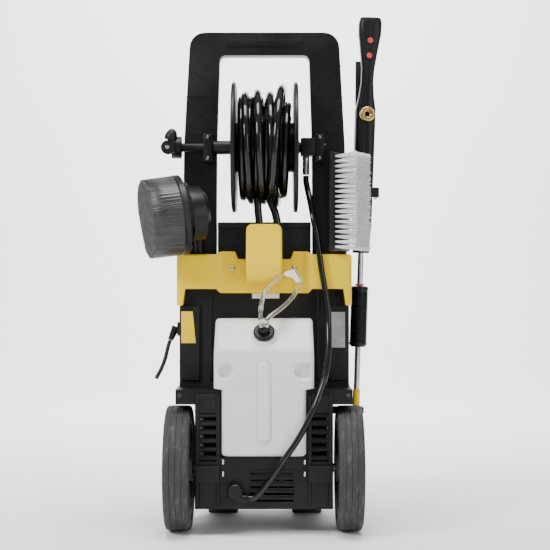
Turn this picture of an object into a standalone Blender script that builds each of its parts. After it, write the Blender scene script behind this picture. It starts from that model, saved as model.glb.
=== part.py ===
"""Upright electric pressure washer with a hose reel, detergent tank, spray gun and two wash brushes.

Metres, +Z up, standing on z = 0. The machine's own coordinates have x = 0 on its centre plane and
y = 0 in the middle of the handle frame; the wheels' side faces -Y. The empty machine_frame shifts
them so that the whole object is centred over the world's origin.
"""
import math

import bmesh
import bpy
from mathutils import Matrix, Vector, geometry

# Driving dimensions
GAP = 0.0003                      # clearance between touching pieces
WALL = 0.003                      # casing wall
SHIFT = (0.0068, -0.0015, 0.0)    # centres the bounding box over the world origin

WHEEL_R = 0.111
WHEEL_HALF = 0.023
WHEEL_X = 0.1515
AXLE_Y = -0.070
AXLE_R = 0.008

NARROW_X = 0.121                  # half width of the casing between the wheels
FENDER_X = 0.155                  # half width over the wheels
BODY_X = 0.153                    # half width of the upper casing
DOME_X = 0.084                    # half width of the hump between the handle legs
BASE_Z = 0.045
FENDER_Z = 0.228
LEDGE_Z = 0.254
SHOULDER_Z = 0.430
DOME_Z = 0.550
REAR_Y = -0.118                   # rear face of the lower casing
BACK_Y = -0.045                   # rear face of the upper casing
SPLIT_Y = 0.020                   # where the two casing shells meet
FRONT_Y = 0.160

HANDLE_TOP = 0.898
HANDLE_HALF_Y = 0.015
LEG_OUT = 0.150
LEG_IN = 0.088

TANK_X = 0.088
TANK_LOW_X = 0.074
TANK_Z0 = 0.138
TANK_TOP = 0.377
TANK_CREASE = 0.320
TANK_FRONT = -0.128
TANK_BACK = -0.0483

REEL_Y = -0.030
REEL_Z = 0.686
FLANGE_R = 0.118
DRUM_R = 0.045
COIL_R = 0.098
HOSE_R = 0.007
LINK_R = 0.0055
CORD_R = 0.0037
CLEAR_R = 0.004

CRANK_PIN = (-0.1725, -0.064, 0.683)
GUN_AT = (0.187, 0.030, 0.751)
GUN_TILT = math.radians(1.8)
GUN_YAW = math.radians(4.0)
CUP_Z = 0.204
OUTLET_X = -0.050
OUTLET_Z = 0.078
KNOB_AXIS = (0.0, 0.122, 0.065)
PEG_Y = -0.036
PEG_R = 0.008
ROTARY_PEG_X = -0.118
FLAT_PEG_X = 0.1415
SPIGOT_AXIS = (0.45, 0.0, -0.89)
CRANK_DIR = (0.28, 0.0, 0.96)
FERRULE_AT = (0.0755, -0.033, 0.670)
NECK_AXIS = (0.0, -0.057, 0.050)
GLAND_DIR = (-0.40, 0.0, -0.92)
FLAT_YAW = math.radians(-25.0)
NECK_AT = (0.0, -0.1045, 0.3468)
KNOB_AT = (0.0, 0.1025, 0.490)
MOTOR_AT = (0.0, 0.050, 0.0)
ROTARY_FACE = (-0.208, -0.1105, 0.552)
ROTARY_RIM = (-0.144, -0.092, 0.561)
GLAND_AT = (-BODY_X - GAP, -0.010, 0.356)


def clear_scene():
    for thing in list(bpy.data.objects):
        bpy.data.objects.remove(thing, do_unlink=True)


def material(name, color, roughness, metallic=0.0):
    made = bpy.data.materials.new(name)
    made.use_nodes = True
    shader = made.node_tree.nodes["Principled BSDF"]
    shader.inputs["Base Color"].default_value = (*color, 1.0)
    shader.inputs["Roughness"].default_value = roughness
    shader.inputs["Metallic"].default_value = metallic
    return made


def add(name, bm, look, origin=(0.0, 0.0, 0.0), parent=None):
    """An object named name from bm, whose points are given in its parent's coordinates."""
    bmesh.ops.translate(bm, verts=bm.verts, vec=-Vector(origin))
    bmesh.ops.recalc_face_normals(bm, faces=bm.faces)
    mesh = bpy.data.meshes.new(name)
    bm.to_mesh(mesh)
    bm.free()
    mesh.shade_smooth()
    mesh.set_sharp_from_angle(angle=math.radians(35))
    mesh.materials.append(look)
    made = bpy.data.objects.new(name, mesh)
    made.location = origin
    made.parent = parent
    bpy.context.collection.objects.link(made)
    return made


def modify(target, bm, operation, parent):
    """Joins bm to target or cuts it away, with a hidden helper object."""
    bmesh.ops.recalc_face_normals(bm, faces=bm.faces)
    mesh = bpy.data.meshes.new(target.name + "_tool")
    bm.to_mesh(mesh)
    bm.free()
    tool = bpy.data.objects.new(target.name + "_tool", mesh)
    tool.parent = parent
    tool.hide_render = True
    tool.display_type = "WIRE"
    bpy.context.collection.objects.link(tool)
    step = target.modifiers.new(operation.title(), "BOOLEAN")
    step.operation = operation
    step.solver = "EXACT"
    step.object = tool


def cut(target, bm, parent):
    modify(target, bm, "DIFFERENCE", parent)


def join(target, bm, parent):
    modify(target, bm, "UNION", parent)


def block(x0, x1, y0, y1, z0, z1, bevel=0.0):
    bm = bmesh.new()
    bmesh.ops.create_cube(bm, size=1.0)
    bmesh.ops.scale(bm, verts=bm.verts, vec=(x1 - x0, y1 - y0, z1 - z0))
    bmesh.ops.translate(bm, verts=bm.verts, vec=((x0 + x1) / 2, (y0 + y1) / 2, (z0 + z1) / 2))
    if bevel:
        bmesh.ops.bevel(bm, geom=bm.edges, offset=bevel, segments=2, profile=0.5, affect="EDGES")
    return bm


def prism(outline, axis, low, high):
    """The outline extruded along an axis; its pairs are the other two axes in XYZ order."""
    bm = bmesh.new()

    def corner(a, b, c):
        return {"X": (c, a, b), "Y": (a, c, b), "Z": (a, b, c)}[axis]

    bottom = [bm.verts.new(corner(a, b, low)) for a, b in outline]
    top = [bm.verts.new(corner(a, b, high)) for a, b in outline]
    bm.faces.new(bottom)
    bm.faces.new(top)
    for i in range(len(outline)):
        j = (i + 1) % len(outline)
        bm.faces.new((bottom[i], bottom[j], top[j], top[i]))
    return bm


def arc(center, radius, start, end, steps):
    """Points of an arc, angles in degrees."""
    points = []
    for i in range(steps + 1):
        angle = math.radians(start + (end - start) * i / steps)
        points.append((center[0] + radius * math.cos(angle), center[1] + radius * math.sin(angle)))
    return points


def turning(point, direction):
    """The matrix that puts a shape turned about +Z on the axis through point along direction."""
    turn = Vector((0, 0, 1)).rotation_difference(Vector(direction).normalized()).to_matrix().to_4x4()
    return Matrix.Translation(point) @ turn


def lathe(profile, point, direction, segments=32):
    """A turned body: profile is (radius, height along direction). It closes on itself unless it
    starts and ends on the axis, where its first and last rings are capped."""
    bm = bmesh.new()
    solid = profile[0][0] == 0.0
    turned = profile[1:-1] if solid else profile
    place = turning(point, direction)
    rings = []
    for radius, height in turned:
        ring = []
        for i in range(segments):
            angle = math.tau * i / segments
            point = Vector((radius * math.cos(angle), radius * math.sin(angle), height))
            ring.append(bm.verts.new(place @ point))
        rings.append(ring)
    for k in range(len(rings) - (1 if solid else 0)):
        here = rings[k]
        there = rings[(k + 1) % len(rings)]
        for i in range(segments):
            j = (i + 1) % segments
            bm.faces.new((here[i], here[j], there[j], there[i]))
    if solid:
        bm.faces.new(rings[0])
        bm.faces.new(rings[-1])
    return bm


def rod(point, direction, radius, low, high, segments=24):
    return lathe([(0.0, low), (radius, low), (radius, high), (0.0, high)], point, direction, segments)


def washer(point, direction, inner, outer, low, high, segments=32):
    profile = [(inner, low), (outer, low), (outer, high), (inner, high)]
    return lathe(profile, point, direction, segments)


def smooth_route(points, count):
    """count + 1 points of a smooth curve through the given points."""
    spots = [Vector(p) for p in points]
    ends = [spots[0] * 2 - spots[1]] + spots + [spots[-1] * 2 - spots[-2]]
    dense = []
    for i in range(1, len(ends) - 2):
        before, start, end, after = ends[i - 1:i + 3]
        near = start + (end - before) / 6
        far = end - (after - start) / 6
        dense += geometry.interpolate_bezier(start, near, far, end, 17)[:-1]
    dense.append(spots[-1])
    lengths = [0.0]
    for a, b in zip(dense, dense[1:]):
        lengths.append(lengths[-1] + (b - a).length)
    even = []
    k = 0
    for i in range(count + 1):
        want = lengths[-1] * i / count
        while k < len(dense) - 2 and lengths[k + 1] < want:
            k += 1
        part = (want - lengths[k]) / (lengths[k + 1] - lengths[k])
        even.append(dense[k].lerp(dense[k + 1], part))
    return even


def tube(name, points, radius, look, parent, sides=2):
    """A solid tube along a smooth curve through points, one point about every 2.1 diameters."""
    length = sum((Vector(b) - Vector(a)).length for a, b in zip(points, points[1:]))
    count = min(79, max(4, round(length / (4.2 * radius))))
    curve = bpy.data.curves.new(name, "CURVE")
    curve.dimensions = "3D"
    curve.bevel_depth = radius
    curve.bevel_resolution = sides
    curve.use_fill_caps = True
    spline = curve.splines.new("POLY")
    route = smooth_route(points, count)
    spline.points.add(len(route) - 1)
    for knot, spot in zip(spline.points, route):
        knot.co = (*spot, 1.0)
    curve.materials.append(look)
    made = bpy.data.objects.new(name, curve)
    made.parent = parent
    bpy.context.collection.objects.link(made)
    return made


def rear_shell(look, frame):
    """The casing half on the wheels' side, hollow, with the bay that the tank stands in."""
    split = SPLIT_Y - GAP / 2
    lower = block(-NARROW_X, NARROW_X, REAR_Y, split, BASE_Z, FENDER_Z + 0.002)
    shell = add("rear_shell", lower, look, parent=frame)
    join(shell, block(-FENDER_X, FENDER_X, REAR_Y, split, FENDER_Z, LEDGE_Z), frame)
    join(shell, block(-BODY_X, BODY_X, BACK_Y, split, LEDGE_Z - 0.01, SHOULDER_Z), frame)
    join(shell, block(-DOME_X, DOME_X, BACK_Y, split, SHOULDER_Z - 0.01, DOME_Z), frame)
    open_y = split + 0.01
    bay_x = TANK_LOW_X + 0.001
    cut(shell, block(-bay_x, bay_x, REAR_Y - 0.01, BACK_Y - 0.001, TANK_Z0 - 0.002, LEDGE_Z + 0.01), frame)
    behind = BACK_Y + WALL
    low_z = BASE_Z + WALL
    cut(shell, block(-NARROW_X + WALL, NARROW_X - WALL, behind, open_y, low_z, LEDGE_Z), frame)
    upper = block(-BODY_X + WALL, BODY_X - WALL, behind, open_y, FENDER_Z + WALL, SHOULDER_Z - WALL)
    cut(shell, upper, frame)
    cut(shell, block(-DOME_X + WALL, DOME_X - WALL, behind, open_y, SHOULDER_Z - 0.01, DOME_Z - WALL), frame)
    inside_y = REAR_Y + WALL
    floor_of_bay = TANK_Z0 - 0.002 - WALL
    cut(shell, block(-bay_x, bay_x, inside_y, behind + 0.001, low_z, floor_of_bay), frame)
    for side in (-1, 1):
        near, far = sorted((side * (bay_x + WALL), side * (NARROW_X - WALL)))
        cut(shell, block(near, far, inside_y, behind + 0.001, low_z, LEDGE_Z - WALL), frame)
        near, far = sorted((side * (bay_x - 0.002), side * (bay_x + WALL + 0.001)))
        cut(shell, block(near, far, inside_y, behind + 0.001, low_z, floor_of_bay), frame)
        near, far = sorted((side * (NARROW_X - WALL - 0.001), side * (FENDER_X - WALL)))
        cut(shell, block(near, far, inside_y, behind + 0.001, FENDER_Z + WALL, LEDGE_Z - WALL), frame)
        near, far = sorted((side * 0.1045, side * 0.1305))
        cut(shell, block(near, far, -0.0105, 0.0105, SHOULDER_Z - 0.01, SHOULDER_Z + 0.01), frame)
        cut(shell, rod((side * NARROW_X, AXLE_Y, WHEEL_R), (1, 0, 0), AXLE_R + 0.0005, -0.02, 0.02), frame)
        near, far = sorted((side * 0.083, side * 0.112))
        for k in range(5):
            low = 0.139 + 0.0153 * k
            cut(shell, block(near, far, REAR_Y - 0.01, inside_y + 0.001, low, low + 0.0075), frame)
    for k in range(5):
        low = 0.058 + 0.0118 * k
        cut(shell, block(-0.024, 0.052, REAR_Y - 0.01, inside_y + 0.001, low, low + 0.006), frame)
    cut(shell, rod((OUTLET_X, REAR_Y, OUTLET_Z), (0, 1, 0), 0.0085, -0.01, 0.01), frame)


def front_outline(inset):
    """Side outlines (y, z) of the front casing: between the wheels, the wide part, the hump."""
    low = BASE_Z + inset
    front = FRONT_Y - inset
    narrow = [(0.0, low), (0.138, low), (front, 0.080), (front, FENDER_Z + 0.002 + inset),
              (0.0, FENDER_Z + 0.002 + inset)]
    wide = [(0.0, FENDER_Z + inset), (front, FENDER_Z + inset), (0.137 - inset, SHOULDER_Z - inset),
            (0.0, SHOULDER_Z - inset)]
    hump = [(0.0, SHOULDER_Z - 0.02), (0.137 - inset, SHOULDER_Z - 0.02), (0.137 - inset, SHOULDER_Z - 0.002),
            (0.072 - inset, DOME_Z - inset), (0.0, DOME_Z - inset)]
    return narrow, wide, hump


def front_shell(look, frame):
    """The casing half on the side away from the wheels, with a sloping upper front."""
    narrow, wide, hump = front_outline(0.0)
    shell = add("front_shell", prism(narrow, "X", -NARROW_X, NARROW_X), look, parent=frame)
    join(shell, prism(wide, "X", -BODY_X, BODY_X), frame)
    join(shell, prism(hump, "X", -DOME_X, DOME_X), frame)
    narrow, wide, hump = front_outline(WALL)
    cut(shell, prism(narrow, "X", -NARROW_X + WALL, NARROW_X - WALL), frame)
    cut(shell, prism(wide, "X", -BODY_X + WALL, BODY_X - WALL), frame)
    cut(shell, prism(hump, "X", -DOME_X + WALL, DOME_X - WALL), frame)
    cut(shell, block(-0.3, 0.3, -0.1, SPLIT_Y + GAP / 2, 0.0, 0.7), frame)
    for k in range(6):
        low = 0.110 + 0.015 * k
        cut(shell, block(-0.070, 0.070, FRONT_Y - 0.01, FRONT_Y + 0.01, low, low + 0.007), frame)
    cut(shell, rod(KNOB_AT, KNOB_AXIS, 0.0055, -0.02, 0.02), frame)
    cut(shell, rod((0.075, FRONT_Y, 0.085), (0, 1, 0), 0.0105, -0.02, 0.02), frame)


def handle_frame(look, frame):
    """The inverted U that the machine is wheeled by, with tenons that stand in the casing."""
    foot = SHOULDER_Z + GAP
    outer = [(LEG_OUT, foot), (0.147, 0.690)] + arc((0.109, 0.870), 0.028, 0, 90, 5)
    inner = arc((0.072, 0.846), 0.010, 90, 0, 3) + [(0.087, 0.690), (LEG_IN, foot)]
    left = [(-x, z) for x, z in reversed(outer)]
    hole = [(-x, z) for x, z in reversed(inner)] + inner
    outline = outer + left + hole
    bar = add("handle_frame", prism(outline, "Y", -HANDLE_HALF_Y, HANDLE_HALF_Y), look, parent=frame)
    for side in (-1, 1):
        near, far = sorted((side * 0.105, side * 0.130))
        join(bar, block(near, far, -0.010, 0.010, 0.395, foot + 0.005), frame)


def handle_grip(look, frame):
    face = -HANDLE_HALF_Y - GAP
    add("handle_grip", block(-0.070, 0.070, face - 0.003, face, 0.871, 0.885, 0.001), look, parent=frame)


def accessory_bracket(look, frame):
    """The moulded shelf across the back: a plate, two side blocks with brush sockets, and a hose hook."""
    right = [(0.080, 0.422), (0.084, 0.4295), (0.143, 0.4295), (0.146, 0.400), (0.157, 0.400), (0.157, 0.492),
             (0.086, 0.492), (0.080, 0.497), (0.052, 0.497), (0.047, 0.4834)]
    outline = right + [(-x, z) for x, z in reversed(right)]
    back = BACK_Y - GAP
    plate = add("accessory_bracket", prism(outline, "Y", -0.058, back), look, parent=frame)
    hook = [(-0.057, 0.435), (-0.075, 0.437), (-0.098, 0.462), (-0.105, 0.480), (-0.105, 0.530),
            (-0.101, 0.541), (-0.0965, 0.5445), (-0.092, 0.541), (-0.088, 0.530), (-0.088, 0.483),
            (-0.057, 0.483)]
    join(plate, prism(hook, "X", -0.032, 0.032), frame)
    for side in (-1, 1):
        near, far = sorted((side * 0.0885, side * 0.1565))
        join(plate, block(near, far, back - 0.002, -HANDLE_HALF_Y - GAP, 0.4315, 0.4915), frame)
    for x in (ROTARY_PEG_X, FLAT_PEG_X):
        cut(plate, rod((x, PEG_Y, 0.480), (0, 0, 1), PEG_R + 0.0005, -0.014, 0.030), frame)


def wheels(rubber, hub, cap_look, frame):
    tread = [(0.088, -0.021), (0.096, -0.023), (0.107, -0.023), (WHEEL_R, -0.018), (WHEEL_R, 0.018),
             (0.107, 0.023), (0.096, 0.023), (0.088, 0.021)]
    rim = [(0.0087, -0.024), (0.024, -0.024), (0.024, -0.006), (0.078, -0.006), (0.078, -0.0205),
           (0.0877, -0.0205), (0.0877, 0.0205), (0.078, 0.0205), (0.078, 0.006), (0.024, 0.006),
           (0.024, 0.024), (0.0087, 0.024)]
    cover = [(0.0, 0.0243), (0.022, 0.0243), (0.022, 0.026), (0.014, 0.029), (0.0, 0.029)]
    for side, name in ((-1, "left"), (1, "right")):
        at = (side * WHEEL_X, AXLE_Y, WHEEL_R)
        out = (side, 0, 0)
        add("tyre_" + name, lathe(tread, at, out, 48), rubber, at, frame)
        add("rim_" + name, lathe(rim, at, out, 36), hub, at, frame)
        add("wheel_cap_" + name, lathe(cover, at, out, 24), cap_look, at, frame)
    axle_half = WHEEL_X + 0.024
    add("axle", rod((0, AXLE_Y, WHEEL_R), (1, 0, 0), AXLE_R, -axle_half, axle_half), cap_look, parent=frame)


def front_feet(look, frame):
    for name, x in (("left", -0.080), ("right", 0.080)):
        pad = block(x - 0.028, x + 0.028, 0.092, 0.136, 0.0, BASE_Z - GAP, 0.003)
        add("front_foot_" + name, pad, look, parent=frame)


def drive(steel, cast, plastic, frame):
    """The motor, its shaft and fan, and the pump with its outlet block, inside the casing."""
    up = (0, 0, 1)
    body = [(0.0068, 0.245), (0.052, 0.245), (0.058, 0.252), (0.058, 0.388), (0.052, 0.395), (0.0068, 0.395)]
    add("motor", lathe(body, MOTOR_AT, up), steel, parent=frame)
    fan = [(0.0, 0.200), (0.006, 0.200), (0.006, 0.400), (0.045, 0.402), (0.045, 0.416), (0.006, 0.418),
           (0.0, 0.418)]
    add("motor_fan", lathe(fan, MOTOR_AT, up, 24), plastic, MOTOR_AT, frame)
    head = [(0.0, 0.110), (0.040, 0.110), (0.044, 0.120), (0.044, 0.240), (0.0068, 0.240), (0.0068, 0.190),
            (0.0, 0.190)]
    pump = add("pump", lathe(head, MOTOR_AT, up), cast, parent=frame)
    join(pump, block(-0.066, 0.090, 0.030, 0.075, 0.065, 0.118), frame)


def fittings(brass, dark, frame):
    """The high-pressure outlet with its side spigot, and the garden-hose inlet."""
    at = (OUTLET_X, REAR_Y, OUTLET_Z)
    boss = [(0.0, -0.022), (0.011, -0.022), (0.013, -0.020), (0.013, -GAP), (0.008, -GAP), (0.008, 0.1475),
            (0.0, 0.1475)]
    outlet = add("outlet_fitting", lathe(boss, at, (0, 1, 0), 24), dark, parent=frame)
    spigot = (OUTLET_X, REAR_Y - 0.012, OUTLET_Z)
    join(outlet, rod(spigot, SPIGOT_AXIS, 0.0065, 0.0, 0.016, 20), frame)
    elbow = (OUTLET_X + 0.0055, REAR_Y - 0.0125, OUTLET_Z - 0.0125)
    join(outlet, rod(elbow, (1, 0, 0), 0.0068, 0.0, 0.0155, 20), frame)
    inlet = [(0.0, -0.0842), (0.010, -0.0842), (0.010, GAP), (0.016, GAP), (0.016, 0.010), (0.011, 0.010),
             (0.011, 0.024), (0.0055, 0.024), (0.0055, -0.020), (0.0, -0.020)]
    add("water_inlet", lathe(inlet, (0.075, FRONT_Y, 0.085), (0, 1, 0), 24), brass, parent=frame)


def switch(look, dark, frame):
    axis = Vector(KNOB_AXIS).normalized()
    dial = [(0.0, -0.016), (0.005, -0.016), (0.005, 0.0015), (0.026, 0.0015), (0.024, 0.012), (0.0, 0.012)]
    knob = add("switch_knob", lathe(dial, KNOB_AT, axis, 24), look, KNOB_AT, frame)
    ridge = Vector(KNOB_AT) + axis * 0.010
    bar = block(-0.005, 0.005, -0.020, 0.020, 0.0, 0.012)
    bmesh.ops.transform(bar, matrix=turning(ridge, axis), verts=bar.verts)
    join(knob, bar, frame)
    add("switch_box", rod(KNOB_AT, axis, 0.020, -0.050, -0.018), dark, parent=frame)


def reel(black, metal, hose, frame):
    """Everything that turns about the reel's axis."""
    at = (0.0, REEL_Y, REEL_Z)
    along = (1, 0, 0)
    shaft = [(0.0, -0.150), (0.008, -0.150), (0.008, -0.0935), (0.0125, -0.0930), (0.0125, 0.0632),
             (0.010, 0.0635), (0.010, 0.076), (0.0, 0.076)]
    add("reel_shaft", lathe(shaft, at, along), metal, at, frame)
    drum_low, drum_high = -0.0514, 0.0534
    add("reel_drum", washer(at, along, 0.0128, DRUM_R, drum_low, drum_high), black, at, frame)
    for side, name, face in ((-1, "left", -drum_low), (1, "right", drum_high)):
        disc = [(0.0128, face + GAP), (0.111, face + GAP), (0.115, face - 0.001),
                (FLANGE_R, face + GAP + 0.001), (FLANGE_R, face + 0.006), (0.114, face + 0.0075),
                (0.108, face + 0.0045), (0.040, face + 0.0045), (0.024, face + 0.009),
                (0.0128, face + 0.009)]
        add("reel_flange_" + name, lathe(disc, at, (side, 0, 0), 48), black, at, frame)
    wound = [(DRUM_R + GAP, -0.050), (0.091, -0.050), (COIL_R, -0.043), (COIL_R, 0.045), (0.091, 0.052),
             (DRUM_R + GAP, 0.052)]
    add("hose_winding", lathe(wound, at, along, 40), hose, at, frame)
    hub = add("crank_hub", rod(at, (-1, 0, 0), 0.020, 0.1503, 0.168), black, at, frame)
    x, y, z = CRANK_PIN
    join(hub, block(x - 0.006, -0.160, y + 0.0065, REEL_Y, z - 0.008, z + 0.010), frame)


def crank(black, metal, frame):
    """The folding crank handle: an ear on the pin, a spindle, and a knob that turns on it."""
    at = CRANK_PIN
    ear = add("crank_arm", rod(at, (0, 1, 0), 0.0125, -0.006, 0.006), black, at, frame)
    join(ear, rod(at, CRANK_DIR, 0.004, 0.0, 0.034, 16), frame)
    add("crank_pin_screw", rod(at, (0, -1, 0), 0.0035, 0.0063, 0.0085, 16), metal, at, frame)
    knob = [(0.0043, 0.0135), (0.0105, 0.0135), (0.0115, 0.019), (0.0105, 0.024), (0.008, 0.030),
            (0.0043, 0.0335)]
    add("crank_knob", lathe(knob, at, CRANK_DIR, 24), black, at, frame)


def bearings(black, metal, frame):
    """The saddle clamps on the handle legs and the fixed swivel that feeds the reel."""
    face = -HANDLE_HALF_Y - GAP
    sizes = ((-1, "left", 0.094, 0.110, 0.0085), (1, "right", 0.0923, 0.108, 0.0095))
    for side, name, near, far, bore in sizes:
        low, high = sorted((side * near, side * far))
        saddle = block(low, high, -0.046, face, 0.659, 0.709, 0.0012)
        clamp = add("bearing_" + name, saddle, black, parent=frame)
        cut(clamp, rod((0, REEL_Y, REEL_Z), (side, 0, 0), bore, 0.05, 0.15), frame)
        for z in (0.665, 0.703):
            join(clamp, rod(((low + high) / 2, -0.045, z), (0, -1, 0), 0.0032, 0.0, 0.003, 12), frame)
    swivel = add("swivel_block", block(0.066, 0.092, -0.050, face, 0.670, 0.702, 0.0012), black, parent=frame)
    cut(swivel, rod((0, REEL_Y, REEL_Z), (1, 0, 0), 0.0105, 0.05, 0.078), frame)
    join(swivel, rod((0, REEL_Y, REEL_Z), (1, 0, 0), 0.009, 0.085, 0.112), frame)
    add("hose_ferrule", rod(FERRULE_AT, (0, 0, -1), 0.0062, GAP, 0.034, 20), metal, parent=frame)


def screws(metal, frame):
    for name, x, z in (("left", -0.057, 0.466), ("right", 0.054, 0.467)):
        head = [(0.0, GAP), (0.0045, GAP), (0.0045, 0.0015), (0.003, 0.0028), (0.0, 0.0028)]
        add("bracket_screw_" + name, lathe(head, (x, -0.058, z), (0, -1, 0), 16), metal, parent=frame)


def tank(look, black, frame):
    """The detergent tank, hollow and open at its neck, with its screw cap and the tube grommet."""
    side_view = [(TANK_FRONT, TANK_Z0), (TANK_BACK, TANK_Z0), (TANK_BACK, TANK_TOP), (-0.078, TANK_TOP),
                 (TANK_FRONT, TANK_CREASE)]
    body = prism(side_view, "X", -TANK_X, TANK_X)
    bmesh.ops.bevel(body, geom=body.edges, offset=0.004, segments=2, profile=0.5, affect="EDGES")
    bottle = add("detergent_tank", body, look, parent=frame)
    for side in (-1, 1):
        near, far = sorted((side * TANK_LOW_X, side * (TANK_X + 0.01)))
        cut(bottle, block(near, far, -0.14, -0.04, 0.130, LEDGE_Z + 0.0006), frame)
        cut(bottle, rod((side * 0.066, TANK_FRONT, 0.2875), (0, 1, 0), 0.0155, -0.01, 0.012, 20), frame)
    neck = [(0.0, -0.006), (0.0235, -0.006), (0.0235, 0.002), (0.0205, 0.008), (0.0, 0.008)]
    join(bottle, lathe(neck, NECK_AT, NECK_AXIS), frame)
    hollow = [(-0.108, TANK_Z0 + WALL), (TANK_BACK - WALL, TANK_Z0 + WALL),
              (TANK_BACK - WALL, TANK_TOP - WALL), (-0.082, TANK_TOP - WALL), (-0.108, TANK_TOP - 0.033)]
    cut(bottle, prism(hollow, "X", -TANK_LOW_X + WALL, TANK_LOW_X - WALL), frame)
    cut(bottle, rod(NECK_AT, NECK_AXIS, 0.013, -0.020, 0.020), frame)
    cap = [(0.0098, 0.0083), (0.018, 0.0083), (0.018, 0.0145), (0.0165, 0.016), (0.0098, 0.016)]
    add("tank_cap", lathe(cap, NECK_AT, NECK_AXIS), black, NECK_AT, frame)
    plug = [(0.0, 0.002), (0.0094, 0.002), (0.0094, 0.017), (0.0090, 0.026), (0.0, 0.026)]
    add("tube_grommet", lathe(plug, NECK_AT, NECK_AXIS, 24), black, parent=frame)


def gland(look, frame):
    base = add("cord_gland", rod(GLAND_AT, (-1, 0, 0), 0.013, 0.0, 0.006, 24), look, parent=frame)
    x, y, z = GLAND_AT
    cone = [(0.0, 0.0), (0.0075, 0.0), (0.0050, 0.026), (0.0, 0.026)]
    join(base, lathe(cone, (x - 0.0085, y, z + 0.004), GLAND_DIR, 20), frame)


def gun_half(sections, side, sides=10):
    """One half of the gun's grip and barrel casing: rounded half rings at each height."""
    bm = bmesh.new()
    rings = []
    for height, middle, half_x, half_y in sections:
        ring = []
        for i in range(sides + 1):
            angle = math.pi * i / sides - math.pi / 2
            cos, sin = math.cos(angle), math.sin(angle)
            out = half_x * abs(cos) ** 0.55
            along = half_y * math.copysign(abs(sin) ** 0.55, sin)
            ring.append(bm.verts.new((side * (out + GAP / 2), middle + along, height)))
        rings.append(ring)
    for lower, upper in zip(rings, rings[1:]):
        for i in range(sides + 1):
            j = (i + 1) % (sides + 1)
            bm.faces.new((lower[i], lower[j], upper[j], upper[i]))
    bm.faces.new(rings[0])
    bm.faces.new(rings[-1])
    return bm


def gun(black, brass, steel, red, yellow, frame):
    """The spray gun, hanging with its barrel down; its own frame has +Z up the barrel's axis."""
    hold = bpy.data.objects.new("gun_frame", None)
    hold.location = GUN_AT
    hold.rotation_euler = (0.0, GUN_TILT, GUN_YAW)
    hold.parent = frame
    bpy.context.collection.objects.link(hold)
    sections = [(-0.246, 0.000, 0.0145, 0.0145), (-0.200, 0.000, 0.0175, 0.018),
                (-0.020, 0.000, 0.0186, 0.019), (0.010, 0.000, 0.0186, 0.019),
                (0.034, -0.006, 0.014, 0.015), (0.060, -0.012, 0.0112, 0.012),
                (0.085, -0.018, 0.0118, 0.0125), (0.120, -0.025, 0.0165, 0.014),
                (0.145, -0.029, 0.0205, 0.015), (0.166, -0.031, 0.021, 0.015),
                (0.1755, -0.031, 0.0185, 0.013)]
    for side, name in ((-1, "left"), (1, "right")):
        half = add("gun_shell_" + name, gun_half(sections, side), black, parent=hold)
        near, far = sorted((side * 0.0078, side * 0.0115))
        join(half, block(near, far, 0.010, 0.034, 0.002, 0.018), hold)
    brass_nut = [(0.0045, -0.0200), (0.0118, -0.0200), (0.0118, -0.022), (0.0138, -0.022), (0.0138, -0.034),
                 (0.0120, -0.036), (0.0075, -0.036), (0.0065, -0.031), (0.0045, -0.031)]
    add("gun_inlet", lathe(brass_nut, (0, 0, 0), (0, 1, 0), 24), brass, parent=hold)
    pivot = (0.0, 0.0275, 0.010)
    trigger = add("trigger", rod(pivot, (1, 0, 0), 0.0065, -0.0073, 0.0073, 16), black, pivot, hold)
    root = [(0.0225, 0.010), (0.0325, 0.010), (0.0355, 0.028), (0.0265, 0.028)]
    join(trigger, prism(root, "X", -0.0073, 0.0073), hold)
    blade = [(0.0255, 0.022), (0.0343, 0.022), (0.041, 0.060), (0.050, 0.108), (0.043, 0.108), (0.034, 0.060)]
    join(trigger, prism(blade, "X", -0.015, 0.015), hold)
    catch_at = (0.0, 0.0285, 0.070)
    catch = [(0.0255, 0.067), (0.0315, 0.067), (0.0315, 0.090), (0.0285, 0.090)]
    add("safety_catch", prism(catch, "X", -0.004, 0.004), red, catch_at, hold)
    coupling = [(0.0, -0.2555), (0.0158, -0.2555), (0.0158, -0.2463), (0.0, -0.2463)]
    add("lance_coupling", lathe(coupling, (0, 0, 0), (0, 0, 1), 24), black, parent=hold)
    add("lance_tube", rod((0, 0, 0), (0, 0, 1), 0.0055, -0.509, -0.2558, 20), steel, parent=hold)
    add("lance_ring", washer((0, 0, 0), (0, 0, 1), 0.0058, 0.0085, -0.3165, -0.3130, 20), red, parent=hold)
    add("lance_grip", washer((0, 0, 0), (0, 0, 1), 0.0058, 0.0165, -0.430, -0.3168, 24), black, parent=hold)
    tip = [(0.0, -0.563), (0.0055, -0.563), (0.0068, -0.556), (0.0068, -0.5095), (0.0, -0.5095)]
    add("lance_nozzle", lathe(tip, (0, 0, 0), (0, 0, 1), 20), yellow, parent=hold)


def lance_at(z):
    """Where the lance's axis crosses the height z."""
    turn = Matrix.Rotation(GUN_YAW, 3, "Z") @ Matrix.Rotation(GUN_TILT, 3, "Y")
    axis = turn @ Vector((0, 0, 1))
    return Vector(GUN_AT) + axis * ((z - GUN_AT[2]) / axis.z)


def holders(look, frame):
    """The clip on the handle leg and the cup on the casing, behind the wheel, that hold the gun."""
    outline = [(0.1486, -0.012), (0.210, -0.012), (0.210, 0.062), (0.2045, 0.062), (0.2045, -0.006),
               (0.158, -0.006), (0.158, 0.062), (0.152, 0.062), (0.152, 0.012), (0.1486, 0.012)]
    add("gun_clip", prism(outline, "Z", 0.597, 0.615), look, parent=frame)
    x, y, z = lance_at(CUP_Z)
    ring = block(NARROW_X + GAP, x + 0.014, y - 0.014, y + 0.014, z - 0.006, z + 0.006, 0.001)
    cup = add("lance_cup", ring, look, parent=frame)
    cut(cup, rod((x, y, z), (0, 0, 1), 0.0090, -0.02, 0.02), frame)


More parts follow.
